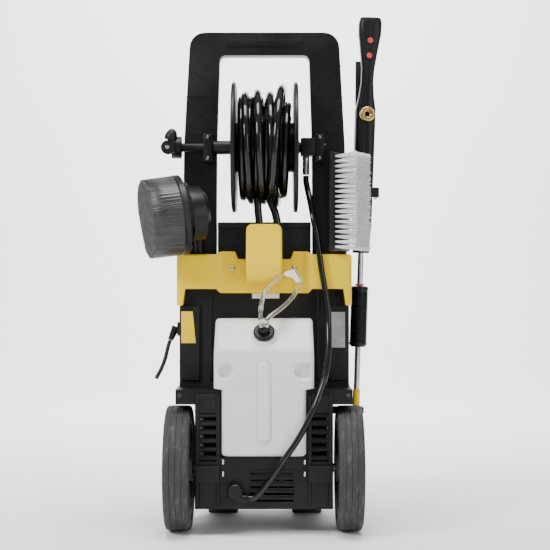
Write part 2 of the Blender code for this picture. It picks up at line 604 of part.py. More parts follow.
def rotary_brush(black, bristle, frame):
    """The turning wash brush: a gear housing on a peg, and a round head of bristles."""
    axis = Vector(ROTARY_RIM) - Vector(ROTARY_FACE)
    depth = axis.length
    hub = [(0.0, depth + 0.0005), (0.044, depth + 0.0005), (0.050, depth + 0.010), (0.048, depth + 0.034),
           (0.036, depth + 0.042), (0.0, depth + 0.042)]
    housing = add("rotary_brush_housing", lathe(hub, ROTARY_FACE, axis), black, parent=frame)
    peg = [(0.0, 0.468), (PEG_R, 0.468), (PEG_R, 0.580), (0.0, 0.580)]
    join(housing, lathe(peg, (ROTARY_PEG_X, PEG_Y, 0.0), (0, 0, 1), 20), frame)
    head = [(0.0, 0.0), (0.069, 0.0), (0.0715, 0.003), (0.0715, depth), (0.0, depth)]
    add("rotary_brush_head", lathe(head, ROTARY_FACE, axis, 40), bristle, ROTARY_FACE, frame)


def flat_brush(black, bristle, frame):
    """The fixed wash brush: a back with a peg, and a block of bristles pointing outward."""
    place = Matrix.Translation((0.1135, -0.0925, 0.585)) @ Matrix.Rotation(FLAT_YAW, 4, "Z")
    back = block(0.0, 0.010, 0.0, 0.080, -0.088, 0.088, 0.003)
    bmesh.ops.transform(back, matrix=place, verts=back.verts)
    plate = add("flat_brush_back", back, black, parent=frame)
    join(plate, rod((FLAT_PEG_X, PEG_Y, 0.468), (0, 0, 1), PEG_R, 0.0, 0.070, 20), frame)
    outline = [(0.0103, 0.003), (0.0103, 0.077), (0.053, 0.081), (0.053, -0.001)]
    tuft = prism(outline, "Z", -0.0865, 0.0865)
    bmesh.ops.transform(tuft, matrix=place, verts=tuft.verts)
    add("flat_brush_bristles", tuft, bristle, parent=frame)


def cords(hose, clear, cord, frame):
    """The hanging hose end, the link from pump to reel, the detergent tube and the mains lead."""
    tail = [(-0.012, -0.062, 0.590), (-0.010, -0.066, 0.560), (-0.004, -0.067, 0.525), (0.010, -0.067, 0.500),
            (0.024, -0.067, 0.525), (0.021, -0.066, 0.560), (0.010, -0.062, 0.590)]
    tube("hose_tail", tail, HOSE_R, hose, frame)
    link = [(0.0755, -0.033, 0.6345), (0.0756, -0.0332, 0.624), (0.0785, -0.039, 0.608),
            (0.0830, -0.052, 0.585), (0.0880, -0.065, 0.555), (0.0950, -0.070, 0.520),
            (0.1020, -0.071, 0.467), (0.1070, -0.072, 0.437), (0.1130, -0.076, 0.400),
            (0.1145, -0.084, 0.360), (0.1130, -0.104, 0.315), (0.1060, -0.124, 0.275),
            (0.0930, -0.136, 0.238), (0.0760, -0.1405, 0.200), (0.0550, -0.1405, 0.163),
            (0.0375, -0.1400, 0.138), (0.0200, -0.1385, 0.112), (0.0050, -0.1360, 0.091),
            (-0.0080, -0.1340, 0.0745), (-0.0170, -0.1310, 0.0668), (-0.0262, -0.1305, 0.0655)]
    tube("link_hose", link, LINK_R, hose, frame)
    suction = [(-0.0042, -0.1260, 0.3660), (-0.0048, -0.1305, 0.3710), (-0.0055, -0.1310, 0.3790),
               (-0.0055, -0.1230, 0.3950), (-0.0030, -0.1080, 0.4110), (0.0020, -0.0960, 0.4250),
               (0.0120, -0.0940, 0.4370), (0.0240, -0.0985, 0.4480), (0.0400, -0.0965, 0.4560),
               (0.0540, -0.0810, 0.4590), (0.0640, -0.0690, 0.4530), (0.0655, -0.0670, 0.4400),
               (0.0580, -0.0720, 0.4260), (0.0450, -0.0850, 0.4090), (0.0280, -0.1020, 0.3940),
               (0.0130, -0.1190, 0.3840), (0.0060, -0.1290, 0.3770), (0.0045, -0.1305, 0.3710),
               (0.0042, -0.1260, 0.3660)]
    tube("detergent_tube", suction, CLEAR_R, clear, frame)
    lead = [(-0.1727, -0.010, 0.3355), (-0.1755, -0.010, 0.327), (-0.1785, -0.010, 0.315),
            (-0.1815, -0.010, 0.303), (-0.1860, -0.010, 0.290), (-0.1920, -0.010, 0.277),
            (-0.1985, -0.010, 0.265)]
    tube("power_cord", lead, CORD_R, cord, frame)


def build():
    clear_scene()
    frame = bpy.data.objects.new("machine_frame", None)
    frame.location = SHIFT
    bpy.context.collection.objects.link(frame)
    casing = material("casing_black", (0.012, 0.012, 0.013), 0.45)
    black = material("black_plastic", (0.009, 0.009, 0.010), 0.40)
    yellow = material("yellow_plastic", (0.80, 0.58, 0.04), 0.40)
    white = material("tank_white", (0.82, 0.82, 0.78), 0.42)
    rubber = material("tyre_rubber", (0.045, 0.045, 0.045), 0.75)
    grey = material("rim_grey", (0.12, 0.13, 0.15), 0.50)
    steel = material("steel", (0.55, 0.55, 0.56), 0.30, 1.0)
    brass = material("brass", (0.62, 0.42, 0.14), 0.28, 1.0)
    hose = material("hose_black", (0.006, 0.006, 0.006), 0.16)
    clear = material("clear_tube", (0.70, 0.72, 0.70), 0.10)
    red = material("red_plastic", (0.65, 0.03, 0.02), 0.40)
    bristle = material("white_bristle", (0.85, 0.85, 0.84), 0.60)
    dark_bristle = material("black_bristle", (0.03, 0.03, 0.03), 0.55)
    rear_shell(casing, frame)
    front_shell(casing, frame)
    handle_frame(black, frame)
    handle_grip(black, frame)
    accessory_bracket(yellow, frame)
    wheels(rubber, grey, black, frame)
    front_feet(rubber, frame)
    drive(steel, grey, black, frame)
    fittings(brass, black, frame)
    switch(yellow, black, frame)
    reel(black, black, hose, frame)
    crank(black, steel, frame)
    bearings(black, steel, frame)
    screws(steel, frame)
    tank(white, black, frame)
    gland(black, frame)
    gun(black, brass, steel, red, yellow, frame)
    holders(black, frame)
    rotary_brush(black, dark_bristle, frame)
    flat_brush(black, bristle, frame)
    cords(hose, clear, black, frame)


build()
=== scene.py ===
"""The looks of the upright pressure washer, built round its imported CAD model.

Places are given in the machine's own metres: x = 0 on its centre plane, y = 0 in the middle of the
handle frame, z = 0 on the floor. spot() turns them into the row frame, from the wheels' boxes.
"""

import math
import random

import bmesh
import bpy
from mathutils import Matrix, Vector


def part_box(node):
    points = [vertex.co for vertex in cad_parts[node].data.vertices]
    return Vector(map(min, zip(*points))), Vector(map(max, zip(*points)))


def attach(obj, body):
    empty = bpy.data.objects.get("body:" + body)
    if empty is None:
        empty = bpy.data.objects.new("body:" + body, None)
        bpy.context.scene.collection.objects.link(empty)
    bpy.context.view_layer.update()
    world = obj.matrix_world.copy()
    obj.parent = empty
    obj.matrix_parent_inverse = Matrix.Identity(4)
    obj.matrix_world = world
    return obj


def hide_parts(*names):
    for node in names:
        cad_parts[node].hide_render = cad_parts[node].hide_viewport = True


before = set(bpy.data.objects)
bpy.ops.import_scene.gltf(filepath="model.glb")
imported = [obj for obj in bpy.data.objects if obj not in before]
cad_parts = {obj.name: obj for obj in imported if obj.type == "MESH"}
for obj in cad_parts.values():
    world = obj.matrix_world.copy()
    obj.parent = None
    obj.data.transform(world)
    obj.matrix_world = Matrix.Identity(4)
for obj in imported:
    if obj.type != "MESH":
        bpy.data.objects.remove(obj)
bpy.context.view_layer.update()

# Where the machine stands in the row frame
AXLE_Y = -0.070
WHEEL_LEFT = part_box("tyre_left")
WHEEL_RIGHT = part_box("tyre_right")
CENTRE_X = (WHEEL_LEFT[0][0] + WHEEL_RIGHT[1][0]) / 2
CENTRE_Y = (WHEEL_LEFT[0][1] + WHEEL_LEFT[1][1]) / 2 - AXLE_Y

WHEEL_X = 0.1515                  # the wheels' centres, from the centre plane
WHEEL_R = 0.111
REEL_Y = -0.030                   # the reel's axis
REEL_Z = 0.686
GUN_AT = (0.187, 0.030, 0.751)    # the origin of the gun's own frame
GUN_TILT = math.radians(1.8)
GUN_YAW = math.radians(4.0)
NECK_AT = (0.0, -0.1045, 0.3468)  # the tank's neck
NECK_AXIS = (0.0, -0.057, 0.050)
ROTARY_FACE = (-0.208, -0.1105, 0.552)
ROTARY_RIM = (-0.144, -0.092, 0.561)
REAR_Y = -0.118                   # the lower casing's rear face
BACK_Y = -0.045                   # the upper casing's rear face
PAD_Y = -0.0505                   # the face of the pads beside the tank
LEG_FACE_Y = -0.015
FRONT_Y = 0.160
TANK_LOW = 0.138
TANK_HIGH = 0.377
LEDGE_Z = 0.2552                  # where the tank steps out over the lower casing
TO_ROW = Matrix.Translation((CENTRE_X, CENTRE_Y, 0.0))
GUN_FRAME = (Matrix.Translation(GUN_AT) @ Matrix.Rotation(GUN_YAW, 4, "Z")
             @ Matrix.Rotation(GUN_TILT, 4, "Y"))

# Camera and light
CAMERA_DISTANCE = 2.40
CAMERA_X = 0.0193
CAMERA_Z = 0.4546
LENS_MM = 85.4
WORLD_LIGHT = 0.45
FLOOR_NEAR = -9.0
FLOOR_HALF = 10.0
CURVE_Y = 2.6
CURVE_R = 1.2
WALL_TOP = 4.5

# Mesh finish, in degrees
ROUND_OVER = 40
SHARP_OVER = 32
CLEAR_IOR = 1.42

# Wheels and reel
SHOULDER = ((0.0885, -0.0205), (0.0925, -0.0222), (0.0945, -0.0218), (0.0965, -0.0228),
            (0.1050, -0.0225), (0.1085, -0.0210), (0.1103, -0.0180))
GROOVES = (-0.0105, 0.0, 0.0105)
SPOKES = 12
SPOKE_SIZE = (0.0125, 0.0028, 0.054)
FLANGE_RIBS = 10
FLANGE_RIB_SIZE = (0.0028, 0.0026, 0.084)
CLAMP_Y = -0.0481
CLAMP_SCREWS = [(x, z) for x in (-0.102, 0.100) for z in (0.665, 0.703)]

# Bracket: the hook's path as (y, z, lean in degrees, half width)
BRACKET_HALF = 0.157
HOOK_HALF_DEPTH = 0.0080
HOOK_PATH = ((-0.0500, 0.4430, 88, 0.0310), (-0.0600, 0.4435, 86, 0.0310), (-0.0760, 0.4465, 68, 0.0312),
             (-0.0885, 0.4550, 42, 0.0315), (-0.0950, 0.4670, 16, 0.0318), (-0.0968, 0.4800, 3, 0.0320),
             (-0.0968, 0.5060, 0, 0.0318))
HOOK_CORNER = 0.011

# Casing relief: distances from the centre plane, and heights
PANEL_X = (0.0775, 0.1195)
WINDOW_X = (0.0835, 0.1130)
PANEL_Z = (0.050, 0.246)
WINDOW_Z = (0.128, 0.213)
PANEL_OUT = 0.0055
SLATS = 6
GRIP_RIBS = 46

# Tank
TANK_STEPS = 110
TANK_EDGE = 0.0060
LEVELS = (0.2717, 0.2421, 0.2159, 0.1900)
CAP_RIBS = 30

# Brushes
FLAT_YAW = math.radians(-25.0)
FLAT_PLACE = Matrix.Translation((0.1135, -0.0925, 0.585)) @ Matrix.Rotation(FLAT_YAW, 4, "Z")
FLAT_ROWS, FLAT_COLUMNS, FLAT_HAIRS = 19, 8, 26
TUFT_R = 0.0016
DRUM_HAIRS = 260
TIP_SPACING = 0.0024
TIP_REACH = 0.0690
CREASES = 40

# Cords: radii, and routes from end to end
HOSE_R = 0.007
LINK_R = 0.0055
CORD_R = 0.0037
CLEAR_R = 0.004
TAIL = [(-0.0125, -0.057, 0.598), (-0.012, -0.062, 0.590), (-0.010, -0.066, 0.560),
        (-0.004, -0.067, 0.525), (0.010, -0.067, 0.500), (0.024, -0.067, 0.525),
        (0.021, -0.066, 0.560), (0.010, -0.062, 0.590), (0.0095, -0.057, 0.598)]
LINK = [(0.0755, -0.033, 0.6345), (0.0756, -0.0332, 0.624), (0.0785, -0.039, 0.608), (0.0830, -0.052, 0.585),
        (0.0880, -0.065, 0.555), (0.0950, -0.070, 0.520), (0.1020, -0.071, 0.467), (0.1070, -0.072, 0.437),
        (0.1130, -0.076, 0.400), (0.1145, -0.084, 0.360), (0.1130, -0.104, 0.315), (0.1060, -0.124, 0.275),
        (0.0930, -0.136, 0.238), (0.0760, -0.1405, 0.200), (0.0550, -0.1405, 0.163), (0.0375, -0.1400, 0.138),
        (0.0200, -0.1385, 0.112), (0.0050, -0.1360, 0.091), (-0.0080, -0.1340, 0.0745),
        (-0.0170, -0.1310, 0.0668), (-0.0262, -0.1305, 0.0655)]
SUCTION = [(-0.0042, -0.1260, 0.3660), (-0.0048, -0.1305, 0.3710), (-0.0055, -0.1310, 0.3790),
           (-0.0055, -0.1230, 0.3950), (-0.0030, -0.1080, 0.4110), (0.0020, -0.0960, 0.4250),
           (0.0120, -0.0940, 0.4370), (0.0240, -0.0985, 0.4480), (0.0400, -0.0965, 0.4560),
           (0.0540, -0.0810, 0.4590), (0.0640, -0.0690, 0.4530), (0.0655, -0.0670, 0.4400),
           (0.0580, -0.0720, 0.4260), (0.0450, -0.0850, 0.4090), (0.0280, -0.1020, 0.3940),
           (0.0130, -0.1190, 0.3840), (0.0060, -0.1290, 0.3770), (0.0045, -0.1305, 0.3710),
           (0.0042, -0.1260, 0.3660)]
LEAD = [(-0.1727, -0.010, 0.3355), (-0.1755, -0.010, 0.327), (-0.1785, -0.010, 0.315),
        (-0.1815, -0.010, 0.303), (-0.1860, -0.010, 0.290), (-0.1920, -0.010, 0.277),
        (-0.1985, -0.010, 0.265)]

# The wound hose: x along the drum, and the radius of each layer's centre line
LAYER_RADII = (0.0522, 0.0635, 0.0748, 0.0861)
LAYER_TURNS = 5
LAYER_END = 0.0415
LAYER_MIDDLE = 0.001
STEPS = 20
OPEN_TURNS = ((-0.0405, 0.0861), (-0.0345, 0.0945), (-0.0120, 0.0990), (0.0100, 0.0955),
              (0.0330, 0.1075))
LAST_PART = 0.449
LAST_END = (0.0100, 0.1012)


def spot(x, y, z):
    return Vector((CENTRE_X + x, CENTRE_Y + y, z))


# Camera and light ---------------------------------------------------------------------------------

def camera():
    data = bpy.data.cameras.new("camera")
    data.lens = LENS_MM
    data.sensor_width = 36.0
    made = bpy.data.objects.new("camera", data)
    made.location = spot(CAMERA_X, -CAMERA_DISTANCE, CAMERA_Z)
    made.rotation_euler = (math.radians(90), 0.0, 0.0)
    bpy.context.collection.objects.link(made)
    bpy.context.scene.camera = made


def softbox(name, place, aim, width, height, power):
    data = bpy.data.lights.new(name, "AREA")
    data.shape = "RECTANGLE"
    data.size = width
    data.size_y = height
    data.energy = power
    made = bpy.data.objects.new(name, data)
    made.location = spot(*place)
    made.rotation_euler = (spot(*aim) - spot(*place)).to_track_quat("-Z", "Y").to_euler()
    bpy.context.collection.objects.link(made)


def world_light():
    world = bpy.data.worlds.new("world")
    world.use_nodes = True
    shade = world.node_tree.nodes["Background"]
    shade.inputs["Color"].default_value = (1.0, 1.0, 1.0, 1.0)
    shade.inputs["Strength"].default_value = WORLD_LIGHT
    bpy.context.scene.world = world


def floor_look():
    pale = bpy.data.materials.new("floor")
    pale.use_nodes = True
    shader = pale.node_tree.nodes["Principled BSDF"]
    shader.inputs["Base Color"].default_value = (0.95, 0.95, 0.95, 1.0)
    shader.inputs["Roughness"].default_value = 0.7
    shader.inputs["Specular IOR Level"].default_value = 0.1
    return pale


def backdrop():
    """A pale floor that curves up into a wall behind the machine."""
    outline = [(FLOOR_NEAR, 0.0), (CURVE_Y, 0.0)]
    outline += arc((CURVE_Y, CURVE_R), CURVE_R, -90, 0, 12) + [(CURVE_Y + CURVE_R, WALL_TOP)]
    bm = bmesh.new()
    rows = [[bm.verts.new((x, y, z)) for x in (-FLOOR_HALF, FLOOR_HALF)] for y, z in outline]
    for low, high in zip(rows, rows[1:]):
        bm.faces.new((low[0], low[1], high[1], high[0]))
    mesh = bpy.data.meshes.new("floor")
    bm.to_mesh(mesh)
    bm.free()
    mesh.shade_smooth()
    floor = bpy.data.objects.new("floor", mesh)
    floor.location = (0.0, 0.0, -0.0005)
    bpy.context.collection.objects.link(floor)
    mesh.materials.append(floor_look())


def studio():
    """Soft lights from the left, the right and above, and one on the wall behind."""
    world_light()
    softbox("key", (-2.0, -1.7, 2.0), (0.0, 0.0, 0.5), 0.6, 0.9, 66)
    softbox("fill", (1.7, -1.9, 0.9), (0.0, 0.0, 0.4), 0.35, 1.4, 14)
    softbox("top", (0.0, -0.5, 2.6), (0.0, 0.0, 0.4), 1.4, 0.9, 62)
    softbox("wall_light", (0.0, 1.2, 2.6), (0.0, 4.0, 0.9), 3.0, 0.8, 260)
    backdrop()


# Materials ----------------------------------------------------------------------------------------

def node(tree, kind, **values):
    made = tree.nodes.new(kind)
    for key, value in values.items():
        setattr(made, key, value)
    return made


def ramp(tree, source, low, high, dark, light):
    """A colour ramp from dark at low to light at high, driven by a node's first output."""
    made = node(tree, "ShaderNodeValToRGB")
    made.color_ramp.elements[0].position = low
    made.color_ramp.elements[1].position = high
    made.color_ramp.elements[0].color = (*dark, 1.0)
    made.color_ramp.elements[1].color = (*light, 1.0)
    tree.links.new(source, made.inputs["Fac"])
    return made.outputs["Color"]


def spread(tree, source, low, high):
    """Maps 0.3..0.7 of a noise to a range of values."""
    made = node(tree, "ShaderNodeMapRange")
    made.inputs["From Min"].default_value = 0.3
    made.inputs["From Max"].default_value = 0.7
    made.inputs["To Min"].default_value = low
    made.inputs["To Max"].default_value = high
    tree.links.new(source, made.inputs["Value"])
    return made.outputs["Result"]


def pattern(tree, scale, detail=3.0, roughness=0.55, stretch=(1.0, 1.0, 1.0)):
    where = node(tree, "ShaderNodeTexCoord")
    turn = node(tree, "ShaderNodeMapping")
    turn.inputs["Scale"].default_value = stretch
    cloud = node(tree, "ShaderNodeTexNoise")
    cloud.inputs["Scale"].default_value = scale
    cloud.inputs["Detail"].default_value = detail
    cloud.inputs["Roughness"].default_value = roughness
    tree.links.new(where.outputs["Object"], turn.inputs["Vector"])
    tree.links.new(turn.outputs["Vector"], cloud.inputs["Vector"])
    return cloud.outputs["Fac"]


def moulded(name, dark, light, rough, grain=1400.0, depth=0.00008, cloud=9.0,
            stretch=(1.0, 1.0, 1.0), metallic=0.0, specular=0.5, strength=0.5):
    """A moulded or cast surface: cloudy colour, uneven gloss and a fine grain."""
    made = bpy.data.materials.new(name)
    made.use_nodes = True
    tree = made.node_tree
    shader = tree.nodes["Principled BSDF"]
    shader.inputs["Metallic"].default_value = metallic
    shader.inputs["Specular IOR Level"].default_value = specular
    wide = pattern(tree, cloud, 4.0, 0.6)
    fine = pattern(tree, grain, 2.0, 0.5, stretch)
    tree.links.new(ramp(tree, wide, 0.30, 0.72, dark, light), shader.inputs["Base Color"])
    tree.links.new(spread(tree, wide, rough[0], rough[1]), shader.inputs["Roughness"])
    bump = node(tree, "ShaderNodeBump")
    bump.inputs["Strength"].default_value = strength
    bump.inputs["Distance"].default_value = depth
    tree.links.new(fine, bump.inputs["Height"])
    tree.links.new(bump.outputs["Normal"], shader.inputs["Normal"])
    return made


def scuffed_rubber(name, dark, light, dust):
    """Tyre rubber with pale scuffs and dust in patches."""
    made = moulded(name, dark, light, (0.55, 0.85), 700.0, 0.00025, 22.0, (1.0, 0.25, 0.25))
    tree = made.node_tree
    shader = tree.nodes["Principled BSDF"]
    base = shader.inputs["Base Color"].links[0].from_socket
    scuffs = pattern(tree, 60.0, 6.0, 0.75, (3.0, 0.6, 0.6))
    mix = node(tree, "ShaderNodeMix", data_type="RGBA")
    mix.inputs["B"].default_value = (*dust, 1.0)
    tree.links.new(base, mix.inputs["A"])
    tree.links.new(spread(tree, scuffs, -0.9, 0.75), mix.inputs["Factor"])
    mix.clamp_factor = True
    tree.links.new(mix.outputs["Result"], shader.inputs["Base Color"])
    return made


def see_through(name, tint, rough):
    """Clear soft plastic."""
    made = moulded(name, tint, tuple(min(1.0, c + 0.04) for c in tint), rough, 260.0, 0.0001, 20.0)
    shader = made.node_tree.nodes["Principled BSDF"]
    shader.inputs["Transmission Weight"].default_value = 0.92
    shader.inputs["IOR"].default_value = CLEAR_IOR
    return made


def milky(name):
    """Translucent white polyethylene: light spreads under its surface."""
    made = moulded(name, (0.70, 0.71, 0.69), (0.78, 0.79, 0.77), (0.30, 0.44), 420.0, 0.0001, 14.0)
    shader = made.node_tree.nodes["Principled BSDF"]
    shader.inputs["Subsurface Weight"].default_value = 0.10
    shader.inputs["Subsurface Radius"].default_value = (0.02, 0.02, 0.018)
    shader.inputs["Subsurface Scale"].default_value = 0.4
    return made


def film(name):
    """Clear wrapping film: mostly see-through, cloudier where it is creased."""
    made = moulded(name, (0.10, 0.10, 0.10), (0.40, 0.41, 0.42), (0.05, 0.14), 60.0, 0.002, 30.0,
                   (1.0, 1.0, 0.4), strength=0.9)
    tree = made.node_tree
    shader = tree.nodes["Principled BSDF"]
    creases = pattern(tree, 34.0, 5.0, 0.7, (0.6, 0.6, 2.2))
    tree.links.new(spread(tree, creases, -0.03, 0.07), shader.inputs["Alpha"])
    return made


LOOKS = {
    "casing": moulded("casing", (0.005, 0.005, 0.0053), (0.011, 0.011, 0.0115), (0.36, 0.50), 1500.0,
                      0.00012, specular=0.22),
    "black": moulded("black", (0.004, 0.004, 0.0042), (0.009, 0.009, 0.0095), (0.30, 0.44), 1700.0, 0.00009,
                     specular=0.25),
    "yellow": moulded("yellow", (0.84, 0.56, 0.0), (0.92, 0.63, 0.0), (0.32, 0.44), 1500.0, 0.00009, 7.0,
                      specular=0.25),
    "tank": milky("tank"),
    "tyre": scuffed_rubber("tyre", (0.014, 0.014, 0.014), (0.032, 0.032, 0.031), (0.11, 0.11, 0.105)),
    "rim": moulded("rim", (0.11, 0.13, 0.155), (0.19, 0.21, 0.24), (0.40, 0.60), 900.0, 0.00012, 30.0),
    "rubber": moulded("rubber", (0.018, 0.018, 0.018), (0.034, 0.034, 0.034), (0.65, 0.85), 800.0, 0.0002),
    "steel": moulded("steel", (0.50, 0.50, 0.51), (0.68, 0.68, 0.69), (0.18, 0.32), 900.0, 0.00004, 25.0,
                     (1.0, 1.0, 0.08), metallic=1.0),
    "brass": moulded("brass", (0.52, 0.32, 0.09), (0.76, 0.54, 0.22), (0.16, 0.32), 700.0, 0.00005, 60.0,
                     metallic=1.0),
    "cast": moulded("cast", (0.36, 0.37, 0.38), (0.50, 0.51, 0.52), (0.45, 0.65), 420.0, 0.0003, 30.0,
                    metallic=0.9),
    "hose": moulded("hose", (0.003, 0.003, 0.003), (0.006, 0.006, 0.006), (0.09, 0.15), 260.0, 0.0001, 30.0,
                    specular=0.45),
    "cord": moulded("cord", (0.008, 0.008, 0.008), (0.018, 0.018, 0.018), (0.40, 0.55), 900.0, 0.0001, 30.0),
    "clear": see_through("clear", (0.88, 0.90, 0.88), (0.04, 0.12)),
    "red": moulded("red", (0.58, 0.020, 0.012), (0.74, 0.040, 0.025), (0.25, 0.40), 1500.0, 0.00005, 40.0),
    "nylon": moulded("nylon", (0.74, 0.74, 0.73), (0.92, 0.92, 0.91), (0.35, 0.60), 900.0, 0.0001, 60.0),
    "dark_nylon": moulded("dark_nylon", (0.008, 0.008, 0.008), (0.022, 0.022, 0.022), (0.28, 0.45), 900.0,
                          0.0001, 60.0),
    "tips": moulded("tips", (0.05, 0.05, 0.05), (0.16, 0.16, 0.155), (0.55, 0.75), 900.0, 0.0002, 90.0),
    "film": film("film"),
    "paper": moulded("paper", (0.78, 0.78, 0.77), (0.85, 0.85, 0.84), (0.45, 0.60), 1200.0, 0.00004, 20.0),
    "plate": moulded("plate", (0.20, 0.20, 0.20), (0.30, 0.30, 0.30), (0.40, 0.60), 700.0, 0.0001, 60.0),
}

SLOT_LOOKS = {
    "casing": "casing", "black_plastic": "black", "yellow_plastic": "yellow", "tank": "tank", "tyre": "tyre",
    "rim": "rim", "rubber": "rubber", "steel": "steel", "brass": "brass", "cast": "cast", "hose": "hose",
    "clear": "clear", "red": "red", "white_bristle": "nylon", "black_bristle": "dark_nylon", "cord": "cord",
}


# Mesh helpers -------------------------------------------------------------------------------------

def edge_smoothing():
    """A node group that shades faces smooth and keeps the steeper edges sharp."""
    group = bpy.data.node_groups.new("edge_smoothing", "GeometryNodeTree")
    group.interface.new_socket("Geometry", in_out="INPUT", socket_type="NodeSocketGeometry")
    group.interface.new_socket("Geometry", in_out="OUTPUT", socket_type="NodeSocketGeometry")
    enter = group.nodes.new("NodeGroupInput")
    leave = group.nodes.new("NodeGroupOutput")
    faces = group.nodes.new("GeometryNodeSetShadeSmooth")
    faces.domain = "FACE"
    edges = group.nodes.new("GeometryNodeSetShadeSmooth")
    edges.domain = "EDGE"
    edges.inputs["Shade Smooth"].default_value = False
    angle = group.nodes.new("GeometryNodeInputMeshEdgeAngle")
    over = group.nodes.new("FunctionNodeCompare")
    over.data_type = "FLOAT"
    over.operation = "GREATER_THAN"
    over.inputs["B"].default_value = math.radians(SHARP_OVER)
    group.links.new(angle.outputs["Unsigned Angle"], over.inputs["A"])
    group.links.new(enter.outputs[0], faces.inputs["Geometry"])
    group.links.new(faces.outputs[0], edges.inputs["Geometry"])
    group.links.new(over.outputs[0], edges.inputs["Selection"])
    group.links.new(edges.outputs[0], leave.inputs[0])
    return group


SMOOTHING = edge_smoothing()


def refine(name, width, segments=3):
    """A CAD node that stays: rounded edges, smooth shading and its finished material."""
    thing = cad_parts[name]
    weld = thing.modifiers.new("weld", "WELD")
    weld.merge_threshold = 0.00002
    if width:
        round_edges = thing.modifiers.new("round", "BEVEL")
        round_edges.width = width
        round_edges.segments = segments
        round_edges.limit_method = "ANGLE"
        round_edges.angle_limit = math.radians(ROUND_OVER)
    smooth = thing.modifiers.new("smooth", "NODES")
    smooth.node_group = SMOOTHING
    slot = thing.material_slots[0]
    slot.material = LOOKS[SLOT_LOOKS[slot.material.name.split(".")[0]]]


def piece(name, bm, look, body, nodes=(), place=TO_ROW, bevel=0.0, angle=35):
    """A finished mesh in the machine's metres (or place's), riding on a body."""
    bmesh.ops.transform(bm, matrix=place if place is TO_ROW else TO_ROW @ place, verts=bm.verts)
    bmesh.ops.recalc_face_normals(bm, faces=bm.faces)
    mesh = bpy.data.meshes.new(name)
    bm.to_mesh(mesh)
    bm.free()
    mesh.shade_smooth()
    mesh.set_sharp_from_angle(angle=math.radians(angle))
    mesh.materials.append(LOOKS[look])
    made = bpy.data.objects.new(name, mesh)
    bpy.context.collection.objects.link(made)
    if bevel:
        step = made.modifiers.new("round", "BEVEL")
        step.width = bevel
        step.segments = 3
        step.limit_method = "ANGLE"
        step.angle_limit = math.radians(ROUND_OVER)
        smooth = made.modifiers.new("smooth", "NODES")
        smooth.node_group = SMOOTHING
    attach(made, body)
    if nodes:
        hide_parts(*nodes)
    return made


def box_into(bm, x0, x1, y0, y1, z0, z1, turn=None):
    made = bmesh.ops.create_cube(bm, size=1.0)["verts"]
    bmesh.ops.scale(bm, verts=made, vec=(x1 - x0, y1 - y0, z1 - z0))
    if turn is not None:
        bmesh.ops.transform(bm, matrix=turn, verts=made)
    bmesh.ops.translate(bm, verts=made, vec=((x0 + x1) / 2, (y0 + y1) / 2, (z0 + z1) / 2))


def blade_into(bm, size, place):
    """A box of this size, centred on place."""
    made = bmesh.ops.create_cube(bm, size=1.0)["verts"]
    bmesh.ops.scale(bm, verts=made, vec=size)
    bmesh.ops.transform(bm, matrix=place, verts=made)


def sided_box(bm, side, reach, y0, y1, z0, z1):
    """A box between two distances from the centre plane, on one side of it."""
    low, high = sorted(side * x for x in reach)
    box_into(bm, low, high, y0, y1, z0, z1)


def plate(outline, low, high):
    """A flat piece with an (x, z) outline, between two y values."""
    bm = bmesh.new()
    near = [bm.verts.new((x, low, z)) for x, z in outline]
    far = [bm.verts.new((x, high, z)) for x, z in outline]
    bm.faces.new(near)
    bm.faces.new(far)
    for i in range(len(outline)):
        j = (i + 1) % len(outline)
        bm.faces.new((near[i], near[j], far[j], far[i]))
    return bm


def loft(rings):
    """A closed skin over rings that all have the same number of points."""
    bm = bmesh.new()
    rows = [[bm.verts.new(point) for point in ring] for ring in rings]
    count = len(rows[0])
    for low, high in zip(rows, rows[1:]):
        for i in range(count):
            j = (i + 1) % count
            bm.faces.new((low[i], low[j], high[j], high[i]))
    bm.faces.new(rows[0])
    bm.faces.new(rows[-1])
    return bm


def ease(low, high, value):
    """0 below low, 1 above high, with a smooth step between."""
    part = min(1.0, max(0.0, (value - low) / (high - low)))
    return part * part * (3 - 2 * part)


def arc(center, radius, start, end, steps=6):
    points = []
    for i in range(steps + 1):
        angle = math.radians(start + (end - start) * i / steps)
        points.append((center[0] + radius * math.cos(angle), center[1] + radius * math.sin(angle)))
    return points


def turning(point, direction):
    """A frame at point whose z axis runs along direction."""
    turn = Vector((0, 0, 1)).rotation_difference(Vector(direction).normalized()).to_matrix().to_4x4()
    return Matrix.Translation(point) @ turn


def lathe_into(bm, profile, place, segments=48, wave=None):
    """A turned body; wave(angle, radius, height) can change the radius round the turn."""
    solid = profile[0][0] == 0.0
    turned = profile[1:-1] if solid else profile
    rings = []
    for radius, height in turned:
        ring = []
        for i in range(segments):
            angle = math.tau * i / segments
            r = radius if wave is None else wave(angle, radius, height)
            ring.append(bm.verts.new(place @ Vector((r * math.cos(angle), r * math.sin(angle), height))))
        rings.append(ring)
    for k in range(len(rings) - (1 if solid else 0)):
        here = rings[k]
        there = rings[(k + 1) % len(rings)]
        for i in range(segments):
            j = (i + 1) % segments
            bm.faces.new((here[i], here[j], there[j], there[i]))
    if solid:
        bm.faces.new(rings[0])
        bm.faces.new(rings[-1])
    return bm


def lathe(profile, point, direction, segments=48, wave=None):
    return lathe_into(bmesh.new(), profile, turning(point, direction), segments, wave)


# Cords --------------------------------------------------------------------------------------------

